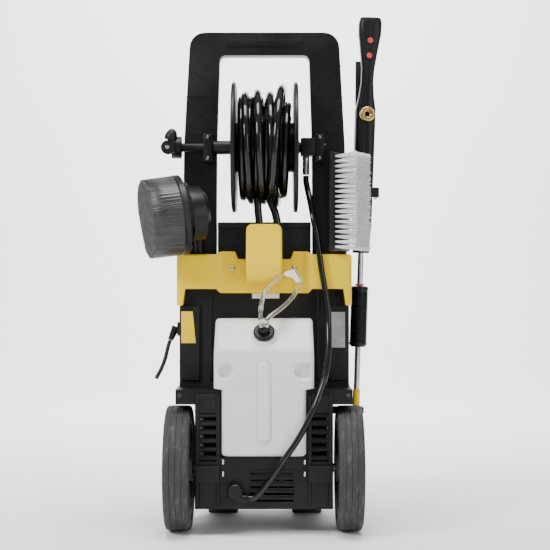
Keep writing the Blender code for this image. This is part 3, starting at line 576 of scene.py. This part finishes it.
def cord_piece(name, points, radius, look, body, nodes):
    """A cord on a smooth curve through points; returns the piece and its length."""
    curve = bpy.data.curves.new(name, "CURVE")
    curve.dimensions = "3D"
    curve.bevel_depth = radius
    curve.bevel_resolution = 5
    curve.resolution_u = 8
    curve.use_fill_caps = True
    spline = curve.splines.new("BEZIER")
    spots = [spot(*p) for p in points]
    spline.bezier_points.add(len(spots) - 1)
    ends = [spots[0] * 2 - spots[1]] + spots + [spots[-1] * 2 - spots[-2]]
    for before, here, after, knot in zip(ends, spots, ends[2:], spline.bezier_points):
        way = (after - before).normalized()
        knot.handle_left_type = knot.handle_right_type = "FREE"
        knot.co = here
        knot.handle_left = here - way * (here - before).length / 3
        knot.handle_right = here + way * (after - here).length / 3
    curve.materials.append(LOOKS[look])
    made = bpy.data.objects.new(name, curve)
    bpy.context.collection.objects.link(made)
    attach(made, body)
    if nodes:
        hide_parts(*nodes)
    return made, spline.calc_length()


def wound_hose():
    """Points of the hose on the drum: four tight layers, four open turns and a last part turn."""
    points = []
    turns = 0.0

    def add(x, radius):
        angle = -math.tau * turns
        points.append((x, REEL_Y + radius * math.sin(angle), REEL_Z + radius * math.cos(angle)))

    for layer, radius in enumerate(LAYER_RADII):
        ends = (-LAYER_END, LAYER_END) if layer % 2 == 0 else (LAYER_END, -LAYER_END)
        for i in range(LAYER_TURNS * STEPS):
            part = i / (LAYER_TURNS * STEPS)
            rise = 0.0 if layer == 0 else radius - LAYER_RADII[layer - 1]
            climb = rise * max(0.0, 1 - part * LAYER_TURNS * 3)
            add(ends[0] + (ends[1] - ends[0]) * part + LAYER_MIDDLE, radius - climb)
            turns += 1 / STEPS
    for (x0, r0), (x1, r1) in zip(OPEN_TURNS, OPEN_TURNS[1:]):
        for i in range(STEPS):
            part = i / STEPS
            eased = ease(0.0, 1.0, part)
            add(x0 + (x1 - x0) * eased, r0 + (r1 - r0) * eased)
            turns += 1 / STEPS
    (x0, r0), (x1, r1) = OPEN_TURNS[-1], LAST_END
    steps = STEPS // 2
    for i in range(steps + 1):
        part = i / steps
        add(x0 + (x1 - x0) * part, r0 + (r1 - r0) * part)
        turns += LAST_PART / steps
    return points


def cords():
    points = wound_hose()
    wound, length = cord_piece("hose_wound", points, HOSE_R, "hose", "reel", ("hose_winding",))
    tail, length = cord_piece("hose_end_loop", TAIL, HOSE_R, "hose", "machine", ("hose_tail",))
    link, length = cord_piece("link_hose_run", LINK, LINK_R, "hose", "machine", ("link_hose",))
    tube, length = cord_piece("suction_tube", SUCTION, CLEAR_R, "clear", "machine", ("detergent_tube",))
    lead, length = cord_piece("mains_lead", LEAD, CORD_R, "cord", "machine", ("power_cord",))


# Wheels -------------------------------------------------------------------------------------------

def tread_outline():
    """The tyre's outer skin as (radius, x) points: a shoulder, three shallow grooves, a shoulder."""
    grooves = []
    for middle in GROOVES:
        grooves += [(0.1108, middle - 0.0007), (0.1101, middle - 0.0003), (0.1101, middle + 0.0003),
                    (0.1108, middle + 0.0007)]
    return [*SHOULDER, *grooves, *((r, -x) for r, x in reversed(SHOULDER))]


def wheel_spokes(at):
    bm = bmesh.new()
    for face in (-1, 1):
        for k in range(SPOKES):
            turn = Matrix.Rotation(math.tau * k / SPOKES, 4, "X")
            move = Matrix.Translation((face * 0.0122, 0.0, 0.0510))
            blade_into(bm, SPOKE_SIZE, Matrix.Translation(at) @ turn @ move)
    return bm


def wheels():
    for side, name in ((-1, "left"), (1, "right")):
        at = (side * WHEEL_X, AXLE_Y, WHEEL_R)
        body = "wheel_" + name
        tread = lathe(tread_outline(), at, (side, 0, 0), 96)
        piece("tread_" + name, tread, "tyre", body, ("tyre_" + name,))
        piece("rim_ribs_" + name, wheel_spokes(at), "rim", body, bevel=0.0006)
        refine("rim_" + name, 0.0012)
        refine("wheel_cap_" + name, 0.0008)


# Reel ---------------------------------------------------------------------------------------------

def flange_ribs(x):
    bm = bmesh.new()
    for k in range(FLANGE_RIBS):
        turn = Matrix.Rotation(math.tau * (k + 0.5) / FLANGE_RIBS, 4, "X")
        move = Matrix.Translation((x, REEL_Y, REEL_Z)) @ turn
        blade_into(bm, FLANGE_RIB_SIZE, move @ Matrix.Translation((0, 0, 0.066)))
    return bm


def reel():
    for side, name, face in ((-1, "left", 0.0514), (1, "right", 0.0534)):
        refine("reel_flange_" + name, 0.0007)
        piece("flange_ribs_" + name, flange_ribs(side * (face + 0.0052)), "black", "reel",
              bevel=0.0005)
    for name in ("reel_shaft", "reel_drum", "crank_hub"):
        refine(name, 0.0008)
    refine("crank_arm", 0.0012)
    refine("crank_knob", 0.0010)
    refine("crank_pin_screw", 0.0005)
    refine("bearing_left", 0.0008)
    refine("bearing_right", 0.0008)
    refine("swivel_block", 0.0010)
    refine("hose_ferrule", 0.0006)


def screw_head(bm, place, radius, height):
    """A plain pan head."""
    profile = [(0.0, 0.0), (radius, 0.0), (radius, height * 0.45), (radius * 0.72, height), (0.0, height)]
    lathe_into(bm, profile, place, 20)


def screws():
    """The clamps' pan heads, each with black boxes laid across it as the painted shade of its recessed cross
    slot, and the bracket's two screws.
    """
    heads = bmesh.new()
    slot_shade = bmesh.new()
    for x, z in CLAMP_SCREWS:
        screw_head(heads, turning((x, CLAMP_Y, z), (0, -1, 0)), 0.0029, 0.0016)
        # Black boxes across each head: painted shade where the cross slot is recessed in the steel.
        for turn in (30, 120):
            box_into(slot_shade, x - 0.0019, x + 0.0019, -0.05005, -0.0494, z - 0.0004, z + 0.0004,
                     Matrix.Rotation(math.radians(turn), 4, "Y"))
    piece("clamp_screws", heads, "steel", "machine")
    piece("clamp_screw_slot_shade", slot_shade, "black", "machine")
    for name in ("left", "right"):
        refine("bracket_screw_" + name, 0.0006)


# Casing -------------------------------------------------------------------------------------------

def bracket_section(x):
    """The bracket's outline at x, as (y, z) points: deeper side blocks and a recessed middle plate."""
    out = abs(x)
    side = ease(0.066, 0.086, out)
    front = -0.0575 - 0.0073 * side + 0.006 * ease(0.150, 0.157, out)
    top = 0.4834 + 0.0136 * ease(0.046, 0.053, out) - 0.005 * ease(0.076, 0.088, out)
    top -= 0.004 * ease(0.152, 0.157, out)
    low = 0.422 + 0.0075 * ease(0.078, 0.087, out) - 0.0295 * ease(0.1415, 0.1465, out)
    points = [(-0.0453, low), (-0.0453, top)]
    points += [(front + 0.004 + 0.004 * math.cos(math.radians(a)),
                top - 0.004 + 0.004 * math.sin(math.radians(a))) for a in (90, 112, 135, 157, 180)]
    points += [(front + 0.0008 * math.sin(math.pi * k / 4), top - 0.004 - (top - low - 0.007) * k / 4)
               for k in range(1, 4)]
    points += [(front + 0.003 + 0.003 * math.cos(math.radians(a)),
                low + 0.003 + 0.003 * math.sin(math.radians(a))) for a in (180, 202, 225, 247, 270)]
    return [(x, y, z) for y, z in points]


def hook_ring(y, z, lean, half_width, half_depth):
    """A rounded cross section of the hook, standing square to a path that leans by lean degrees."""
    ring = []
    for k in range(32):
        angle = math.tau * (k + 0.5) / 32
        cos, sin = math.cos(angle), math.sin(angle)
        across = half_width * math.copysign(abs(cos) ** 0.22, cos)
        deep = half_depth * math.copysign(abs(sin) ** 0.45, sin)
        turn = math.radians(lean)
        ring.append((across, y + deep * math.cos(turn), z + deep * math.sin(turn)))
    return ring


def hose_hook():
    """The hook: up its path, then drawn in to a rounded top."""
    rings = [hook_ring(y, z, lean, half, HOOK_HALF_DEPTH) for y, z, lean, half in HOOK_PATH]
    for a in (0, 15, 30, 45, 60, 75, 86):
        turn = math.radians(a)
        half = 0.0316 - HOOK_CORNER * (1 - math.cos(turn))
        deep = HOOK_HALF_DEPTH - 0.0035 * (a / 86) ** 3
        rings.append(hook_ring(-0.0968, 0.5335 + HOOK_CORNER * math.sin(turn), 0, half, deep))
    return loft(rings)


def bracket():
    """The yellow moulded shelf with its hose hook and the blocks behind it."""
    steps = 170
    shelf = loft([bracket_section(-BRACKET_HALF + 2 * BRACKET_HALF * i / steps) for i in range(steps + 1)])
    piece("bracket_plate", shelf, "yellow", "machine", ("accessory_bracket",), angle=50)
    piece("hose_hook", hose_hook(), "yellow", "machine", angle=50)
    blocks = bmesh.new()
    for side in (-1, 1):
        sided_box(blocks, side, (0.0885, 0.1565), -0.0470, -0.0153, 0.4310, 0.4915)
    piece("bracket_blocks", blocks, "yellow", "machine", bevel=0.003)


def louvre_panel(bm, side):
    """A raised panel on one of the lower casing's columns, with slanting slats in its window."""
    (near, far), (inner, outer) = PANEL_X, WINDOW_X
    (low, high), (sill, head) = PANEL_Z, WINDOW_Z
    front = REAR_Y - PANEL_OUT
    for reach, z0, z1 in (((near, inner), low, high), ((outer, far), low, high),
                          ((inner, outer), head, high), ((inner, outer), low, sill)):
        sided_box(bm, side, reach, front, REAR_Y, z0, z1)
    sided_box(bm, side, PANEL_X, front - 0.007, front, 0.093, 0.122)
    left, right = sorted(side * x for x in WINDOW_X)
    for k in range(SLATS):
        z = 0.1335 + 0.0150 * k
        box_into(bm, left - 0.001, right + 0.001, front + 0.0008, REAR_Y + 0.0035, z - 0.0030, z + 0.0030,
                 Matrix.Rotation(math.radians(-24), 4, "X"))


def louvre_panels():
    bm = bmesh.new()
    louvre_panel(bm, -1)
    louvre_panel(bm, 1)
    piece("louvre_panels", bm, "casing", "machine", bevel=0.0012)


def grille_bars():
    bm = bmesh.new()
    for k in range(5):
        z = 0.0640 + 0.0118 * k
        box_into(bm, -0.025, 0.053, REAR_Y - 0.0022, REAR_Y + 0.0010, z - 0.0023, z + 0.0023)
    piece("grille_bars", bm, "casing", "machine", bevel=0.0008)


def grip_insert():
    """The ribbed strip along the handle's top bar."""
    bm = bmesh.new()
    face = LEG_FACE_Y - 0.0003
    box_into(bm, -0.070, 0.070, face - 0.0012, face, 0.8715, 0.8845)
    for k in range(GRIP_RIBS):
        x = -0.068 + 0.136 * k / (GRIP_RIBS - 1)
        box_into(bm, x - 0.0009, x + 0.0009, face - 0.0022, face - 0.0011, 0.8725, 0.8835)
    piece("grip_insert", bm, "black", "machine", ("handle_grip",), bevel=0.0003)


def casing():
    for name in ("rear_shell", "front_shell"):
        refine(name, 0.0020)
    refine("handle_frame", 0.0040, segments=4)
    for name in ("front_foot_left", "front_foot_right"):
        refine(name, 0.0030)
    for name in ("axle", "outlet_fitting", "water_inlet", "cord_gland", "gun_clip", "lance_cup",
                 "switch_knob"):
        refine(name, 0.0010)
    for name in ("motor", "motor_fan", "pump", "switch_box"):
        refine(name, 0.0)
    bracket()
    louvre_panels()
    grille_bars()
    grip_insert()
    leg_lines()
    pads()
    front_details()


def pads():
    """Raised pads beside the tank on the upper casing, and the lip along the hump's top."""
    bm = bmesh.new()
    for side in (-1, 1):
        sided_box(bm, side, (0.1160, 0.1522), PAD_Y, BACK_Y + 0.0010, 0.2640, 0.4000)
        sided_box(bm, side, (0.0935, 0.0985), BACK_Y - 0.0030, BACK_Y + 0.0010, 0.2640, 0.4180)
    box_into(bm, -0.0835, 0.0835, BACK_Y - 0.0028, BACK_Y + 0.0010, 0.5405, 0.5496)
    piece("casing_pads", bm, "casing", "machine", bevel=0.0018)


def front_details():
    """The front's moulded relief: a three-sided frame, with louvres low and ridges high on the sides."""
    bm = bmesh.new()
    for low, high, z0, z1 in ((-0.135, 0.135, 0.2480, 0.2560), (-0.135, -0.127, 0.2480, 0.3300),
                              (0.127, 0.135, 0.2480, 0.3300)):
        box_into(bm, low, high, FRONT_Y - 0.0010, FRONT_Y - 0.0002, z0, z1)
    for side in (-1, 1):
        for k in range(6):
            z = 0.0900 + 0.0170 * k
            sided_box(bm, side, (0.1205, 0.1228), 0.0520, 0.1200, z - 0.0035, z + 0.0035)
        for k in range(4):
            z = 0.3000 + 0.0200 * k
            sided_box(bm, side, (0.1525, 0.1548), 0.0350, 0.1100, z - 0.0045, z + 0.0045)
    piece("front_relief", bm, "casing", "machine", bevel=0.0008)


def leg_lines():
    """The fine moulded ridges on the handle's legs: two levels and a crossed brace."""
    bm = bmesh.new()
    face = LEG_FACE_Y
    for side in (-1, 1):
        for z in (0.712, 0.780):
            sided_box(bm, side, (0.0885, 0.1455), face - 0.0006, face, z - 0.0006, z + 0.0006)
        for z, lean in ((0.746, 44), (0.746, -44), (0.815, -side * 44), (0.640, side * 44)):
            turn = Matrix.Rotation(math.radians(lean), 4, "Y")
            middle = side * 0.1165
            box_into(bm, middle - 0.034, middle + 0.034, face - 0.0006, face, z - 0.0005, z + 0.0005, turn)
    piece("leg_ridges", bm, "black", "machine")


def tank_section(half, front, back, radius, z, spread_x=56):
    """A rounded rectangle at height z: the front edge first, evenly spaced from -x to +x."""
    ring = []
    flat = half - radius
    for i in range(spread_x + 1):
        ring.append((-flat + 2 * flat * i / spread_x, front, z))
    for a in (-72, -54, -36, -18, 0):
        turn = math.radians(a)
        ring.append((flat + radius * math.cos(turn), front + radius + radius * math.sin(turn), z))
    for a in (0, 30, 60, 90):
        turn = math.radians(a)
        ring.append((flat + radius * math.cos(turn), back - radius + radius * math.sin(turn), z))
    mirrored = [(-x, y, z) for x, y, z in reversed(ring[spread_x + 1:])]
    return ring + mirrored


def tank_press(x, z):
    """How far the front face stands in (positive) or out (negative) at x, z."""
    depth = 0.0
    for side, reach in ((-1, 0.0), (1, 0.022)):
        centre = side * 0.0670
        along = max(0.0, side * (x - centre) - reach) if side * (x - centre) > 0 else side * (centre - x)
        away = math.hypot(along, z - 0.2870)
        depth += 0.0105 * (1 - ease(0.0095, 0.0150, away))
    strip = math.hypot(x - 0.0005, max(0.0, z - 0.2930, 0.1735 - z))
    raised = 1 - ease(0.0090, 0.0118, strip)
    depth -= 0.0034 * raised - 0.0022 * (1 - ease(0.0118, 0.0150, strip)) * (1 - raised)
    for level in LEVELS:
        depth += 0.0009 * raised * (1 - ease(0.0003, 0.0016, abs(z - level)))
    return depth


def tank_heights():
    """Where the rings lie: evenly spaced, closer at the step, and in the rounded ends."""
    heights = [TANK_LOW + (TANK_HIGH - TANK_LOW) * i / TANK_STEPS for i in range(TANK_STEPS + 1)]
    heights += [LEDGE_Z + 0.0004 * k for k in range(-5, 6)]
    heights += [end + way * TANK_EDGE * (1 - math.cos(math.radians(a))) for a in (12, 30, 48)
                for end, way in ((TANK_LOW, 1), (TANK_HIGH, -1))]
    return sorted(heights)


def tank_ring(z):
    """The bottle's outline at height z, with its front face pressed."""
    from_end = min(z - TANK_LOW, TANK_HIGH - z)
    inset = TANK_EDGE - math.sqrt(max(0.0, TANK_EDGE ** 2 - max(0.0, TANK_EDGE - from_end) ** 2))
    half = 0.0738 + 0.0138 * ease(LEDGE_Z - 0.0016, LEDGE_Z + 0.0016, z)
    half = half - 0.0015 * ease(0.300, 0.377, z) - inset
    slope = max(0.0, z - 0.3205)
    lean = math.sqrt(slope ** 2 + 0.000016) - 0.004 if slope else 0.0
    front = -0.1280 + 0.877 * max(0.0, lean) + inset
    ring = tank_section(half, front, -0.0483 - inset, 0.0085, z)
    return [(x, y + (tank_press(x, z) if y < front + 0.0004 else 0.0), zz) for x, y, zz in ring]


def cap_ribs():
    bm = bmesh.new()
    place = turning(NECK_AT, NECK_AXIS)
    for k in range(CAP_RIBS):
        turn = Matrix.Rotation(math.tau * k / CAP_RIBS, 4, "Z") @ Matrix.Translation((0.0181, 0.0, 0.0115))
        blade_into(bm, (0.0010, 0.0016, 0.0056), place @ turn)
    piece("cap_ribs", bm, "black", "cap")


def tank():
    """The blow-moulded detergent tank: sloping shoulder, level strip, finger recesses, neck collar."""
    bottle = loft([tank_ring(z) for z in tank_heights()])
    piece("tank_bottle", bottle, "tank", "machine", ("detergent_tank",), angle=60)
    collar = [(0.0, -0.006), (0.0250, -0.006), (0.0250, 0.0020), (0.0240, 0.0040), (0.0215, 0.0065),
              (0.0205, 0.0078), (0.0, 0.0078)]
    piece("tank_collar", lathe(collar, NECK_AT, NECK_AXIS, 64), "tank", "machine", angle=50)
    refine("tank_cap", 0.0008)
    refine("tube_grommet", 0.0006)
    cap_ribs()


# Gun and brushes ----------------------------------------------------------------------------------

def gun():
    for name in ("gun_shell_left", "gun_shell_right"):
        refine(name, 0.0012)
    for name in ("gun_inlet", "trigger", "safety_catch", "lance_coupling", "lance_ring", "lance_nozzle"):
        refine(name, 0.0008)
    refine("lance_tube", 0.0)
    profile = [(0.0058, -0.430), (0.0125, -0.430), (0.0160, -0.4265)]
    for k in range(24):
        z = -0.4235 + 0.00405 * k
        profile += [(0.0165, z), (0.0165, z + 0.0020), (0.0150, z + 0.0026), (0.0150, z + 0.0034)]
    profile += [(0.0165, -0.3225), (0.0160, -0.3190), (0.0130, -0.3170), (0.0058, -0.3170)]
    grip = lathe(profile, (0, 0, 0), (0, 0, 1), 40)
    piece("ribbed_lance_grip", grip, "black", "gun", ("lance_grip",), place=GUN_FRAME)


def bristle_into(bm, root, tip, width, rng):
    """One bristle: a thin three-sided prism from root to tip."""
    way = (tip - root).normalized()
    side = way.orthogonal().normalized()
    other = way.cross(side)
    spin = rng.random() * math.tau
    rings = []
    for end in (root, tip):
        ring = []
        for k in range(3):
            angle = spin + math.tau * k / 3
            ring.append(bm.verts.new(end + (side * math.cos(angle) + other * math.sin(angle)) * width))
        rings.append(ring)
    for k in range(3):
        j = (k + 1) % 3
        bm.faces.new((rings[0][k], rings[0][j], rings[1][j], rings[1][k]))
    bm.faces.new(rings[1])
    bm.faces.new(rings[0])


def tuft_into(bm, y, z, rng):
    """One tuft of the flat brush, fanning out from its hole at y, z."""
    for _ in range(FLAT_HAIRS):
        angle = rng.random() * math.tau
        part = math.sqrt(rng.random())
        root = Vector((0.0102, y + TUFT_R * part * math.cos(angle), z + TUFT_R * part * math.sin(angle)))
        lean = 0.0058 * part
        tip = Vector((0.0505 + rng.uniform(-0.0012, 0.0014), y + lean * math.cos(angle) * 0.95,
                      z + lean * math.sin(angle) * 0.95))
        tip.y += 0.05 * (y - 0.040)
        tip.z += 0.03 * z
        bristle_into(bm, root, tip, 0.00042, rng)


def flat_brush():
    refine("flat_brush_back", 0.0020)
    rng = random.Random(7)
    bm = bmesh.new()
    for i in range(FLAT_ROWS):
        z = -0.0800 + 0.160 * i / (FLAT_ROWS - 1)
        for j in range(FLAT_COLUMNS):
            tuft_into(bm, 0.0085 + 0.063 * j / (FLAT_COLUMNS - 1), z, rng)
    piece("flat_brush_tufts", bm, "nylon", "machine", ("flat_brush_bristles",),
          place=FLAT_PLACE, angle=80)


def bristle_drum(axis, depth, rng):
    """The dense drum of bristles, with its side slightly uneven."""
    lift = [rng.uniform(-0.0005, 0.0005) for _ in range(DRUM_HAIRS)]

    def strands(angle, radius, height):
        return radius + (lift[int(angle / math.tau * DRUM_HAIRS) % DRUM_HAIRS] if radius > 0.068 else 0.0)

    side = [(0.0, 0.0022), (0.0670, 0.0022), (0.0695, 0.0030), (0.0702, depth * 0.5),
            (0.0705, depth - 0.013), (0.0, depth - 0.013)]
    drum = lathe(side, ROTARY_FACE, axis, 2 * DRUM_HAIRS, strands)
    piece("bristle_drum", drum, "dark_nylon", "brush_head", ("rotary_brush_head",),
          angle=80)


def brush_rim(axis, depth):
    rim = [(0.0, depth - 0.0125), (0.0685, depth - 0.0125), (0.0712, depth - 0.0105),
           (0.0712, depth - 0.0015), (0.0690, depth), (0.0, depth)]
    piece("brush_rim", lathe(rim, ROTARY_FACE, axis, 80), "black", "brush_head")


def bristle_tips(axis, rng):
    """The cut ends of the bristles over the drum's flat face."""
    tips = bmesh.new()
    reach = int(0.069 / TIP_SPACING)
    for i in range(-reach, reach + 1):
        for j in range(-reach, reach + 1):
            x = (i + 0.5 * (j % 2) + rng.uniform(-0.2, 0.2)) * TIP_SPACING
            y = (j * 0.87 + rng.uniform(-0.2, 0.2)) * TIP_SPACING
            if math.hypot(x, y) < TIP_REACH:
                root = Vector((x, y, 0.0060))
                tip = Vector((x + rng.uniform(-0.0004, 0.0004), y, 0.0002 + rng.random() * 0.0012))
                bristle_into(tips, root, tip, 0.00105, rng)
    piece("bristle_tips", tips, "tips", "brush_head", place=turning(ROTARY_FACE, axis),
          angle=80)


def brush_wrap(axis, depth, rng):
    """The creased clear film round the bristle head."""
    creases = [rng.uniform(0.0, 0.0014) for _ in range(CREASES)]

    def wrinkled(angle, radius, height):
        along = angle / math.tau * CREASES
        k = int(along) % CREASES
        part = along - int(along)
        wave = creases[k] * (1 - part) + creases[(k + 1) % CREASES] * part
        return radius + wave * (0.4 + 0.6 * math.sin(height * 90 + 9 * creases[k] * 1000) ** 2)

    wrap = [(0.0705, -0.0006), (0.0712, 0.0012), (0.0714, depth * 0.3), (0.0713, depth * 0.6),
            (0.0716, depth - 0.004), (0.0660, depth + 0.0050), (0.0520, depth + 0.0110),
            (0.0519, depth + 0.0112), (0.0658, depth + 0.0053), (0.0713, depth - 0.0038),
            (0.0710, depth * 0.6), (0.0711, depth * 0.3), (0.0709, 0.0014), (0.0702, -0.0003)]
    sheet = lathe(wrap, ROTARY_FACE, axis, 160, wrinkled)
    piece("brush_wrap", sheet, "film", "brush_head", angle=80)


def rotary_brush():
    """The round brush in its clear wrap."""
    refine("rotary_brush_housing", 0.0018)
    axis = Vector(ROTARY_RIM) - Vector(ROTARY_FACE)
    rng = random.Random(11)
    bristle_drum(axis, axis.length, rng)
    brush_rim(axis, axis.length)
    bristle_tips(axis, rng)
    brush_wrap(axis, axis.length, rng)


def stickers():
    """Plain stickers with nothing printed on them."""
    bm = bmesh.new()
    box_into(bm, -0.022, 0.027, BACK_Y - 0.0006, BACK_Y, 0.4125, 0.4215)
    piece("white_sticker", bm, "paper", "machine")
    bm = bmesh.new()
    box_into(bm, 0.1175, 0.1455, PAD_Y - 0.0006, PAD_Y, 0.324, 0.388)
    piece("grey_plate", bm, "plate", "machine")
    outline = [(-0.1495, 0.332), (-0.1235, 0.332), (-0.1290, 0.389), (-0.1495, 0.389)]
    piece("yellow_sticker", plate(outline, PAD_Y - 0.0006, PAD_Y), "yellow", "machine")


def small_metal():
    """The tank's wire clips, the casing screws, and the tape tie on the suction tube."""
    clips = bmesh.new()
    for side in (-1, 1):
        for z in (0.107, 0.128):
            x = side * 0.0715
            box_into(clips, x - 0.0019, x + 0.0019, REAR_Y - 0.0040, REAR_Y - 0.0004, z - 0.0042, z + 0.0042)
    piece("tank_clips", clips, "steel", "machine", bevel=0.0008)
    heads = bmesh.new()
    for side in (-1, 1):
        screw_head(heads, turning((side * 0.1475, REAR_Y, 0.2435), (0, -1, 0)), 0.0042, 0.0020)
    piece("casing_screws", heads, "rubber", "machine")
    tie = [(0.0360, 0.4595), (0.0520, 0.4650), (0.0645, 0.4425), (0.0570, 0.4415), (0.0495, 0.4505),
           (0.0375, 0.4525)]
    piece("tape_tie", plate(tie, -0.1020, -0.1005), "paper", "machine", bevel=0.0003)


def gun_marks():
    """The two red marks on the grip's back."""
    marks = bmesh.new()
    for y, z in ((-0.0417, 0.1334), (-0.0357, 0.1066)):
        profile = [(0.0, -0.0006), (0.0050, -0.0006), (0.0050, 0.0004), (0.0042, 0.0010), (0.0, 0.0012)]
        lathe_into(marks, profile, turning((0.0, y, z), (0, -1, -0.2)), 28)
    piece("red_marks", marks, "red", "gun", place=GUN_FRAME)


camera()
studio()
cords()
wheels()
reel()
screws()
casing()
tank()
gun()
flat_brush()
rotary_brush()
stickers()
small_metal()
gun_marks()
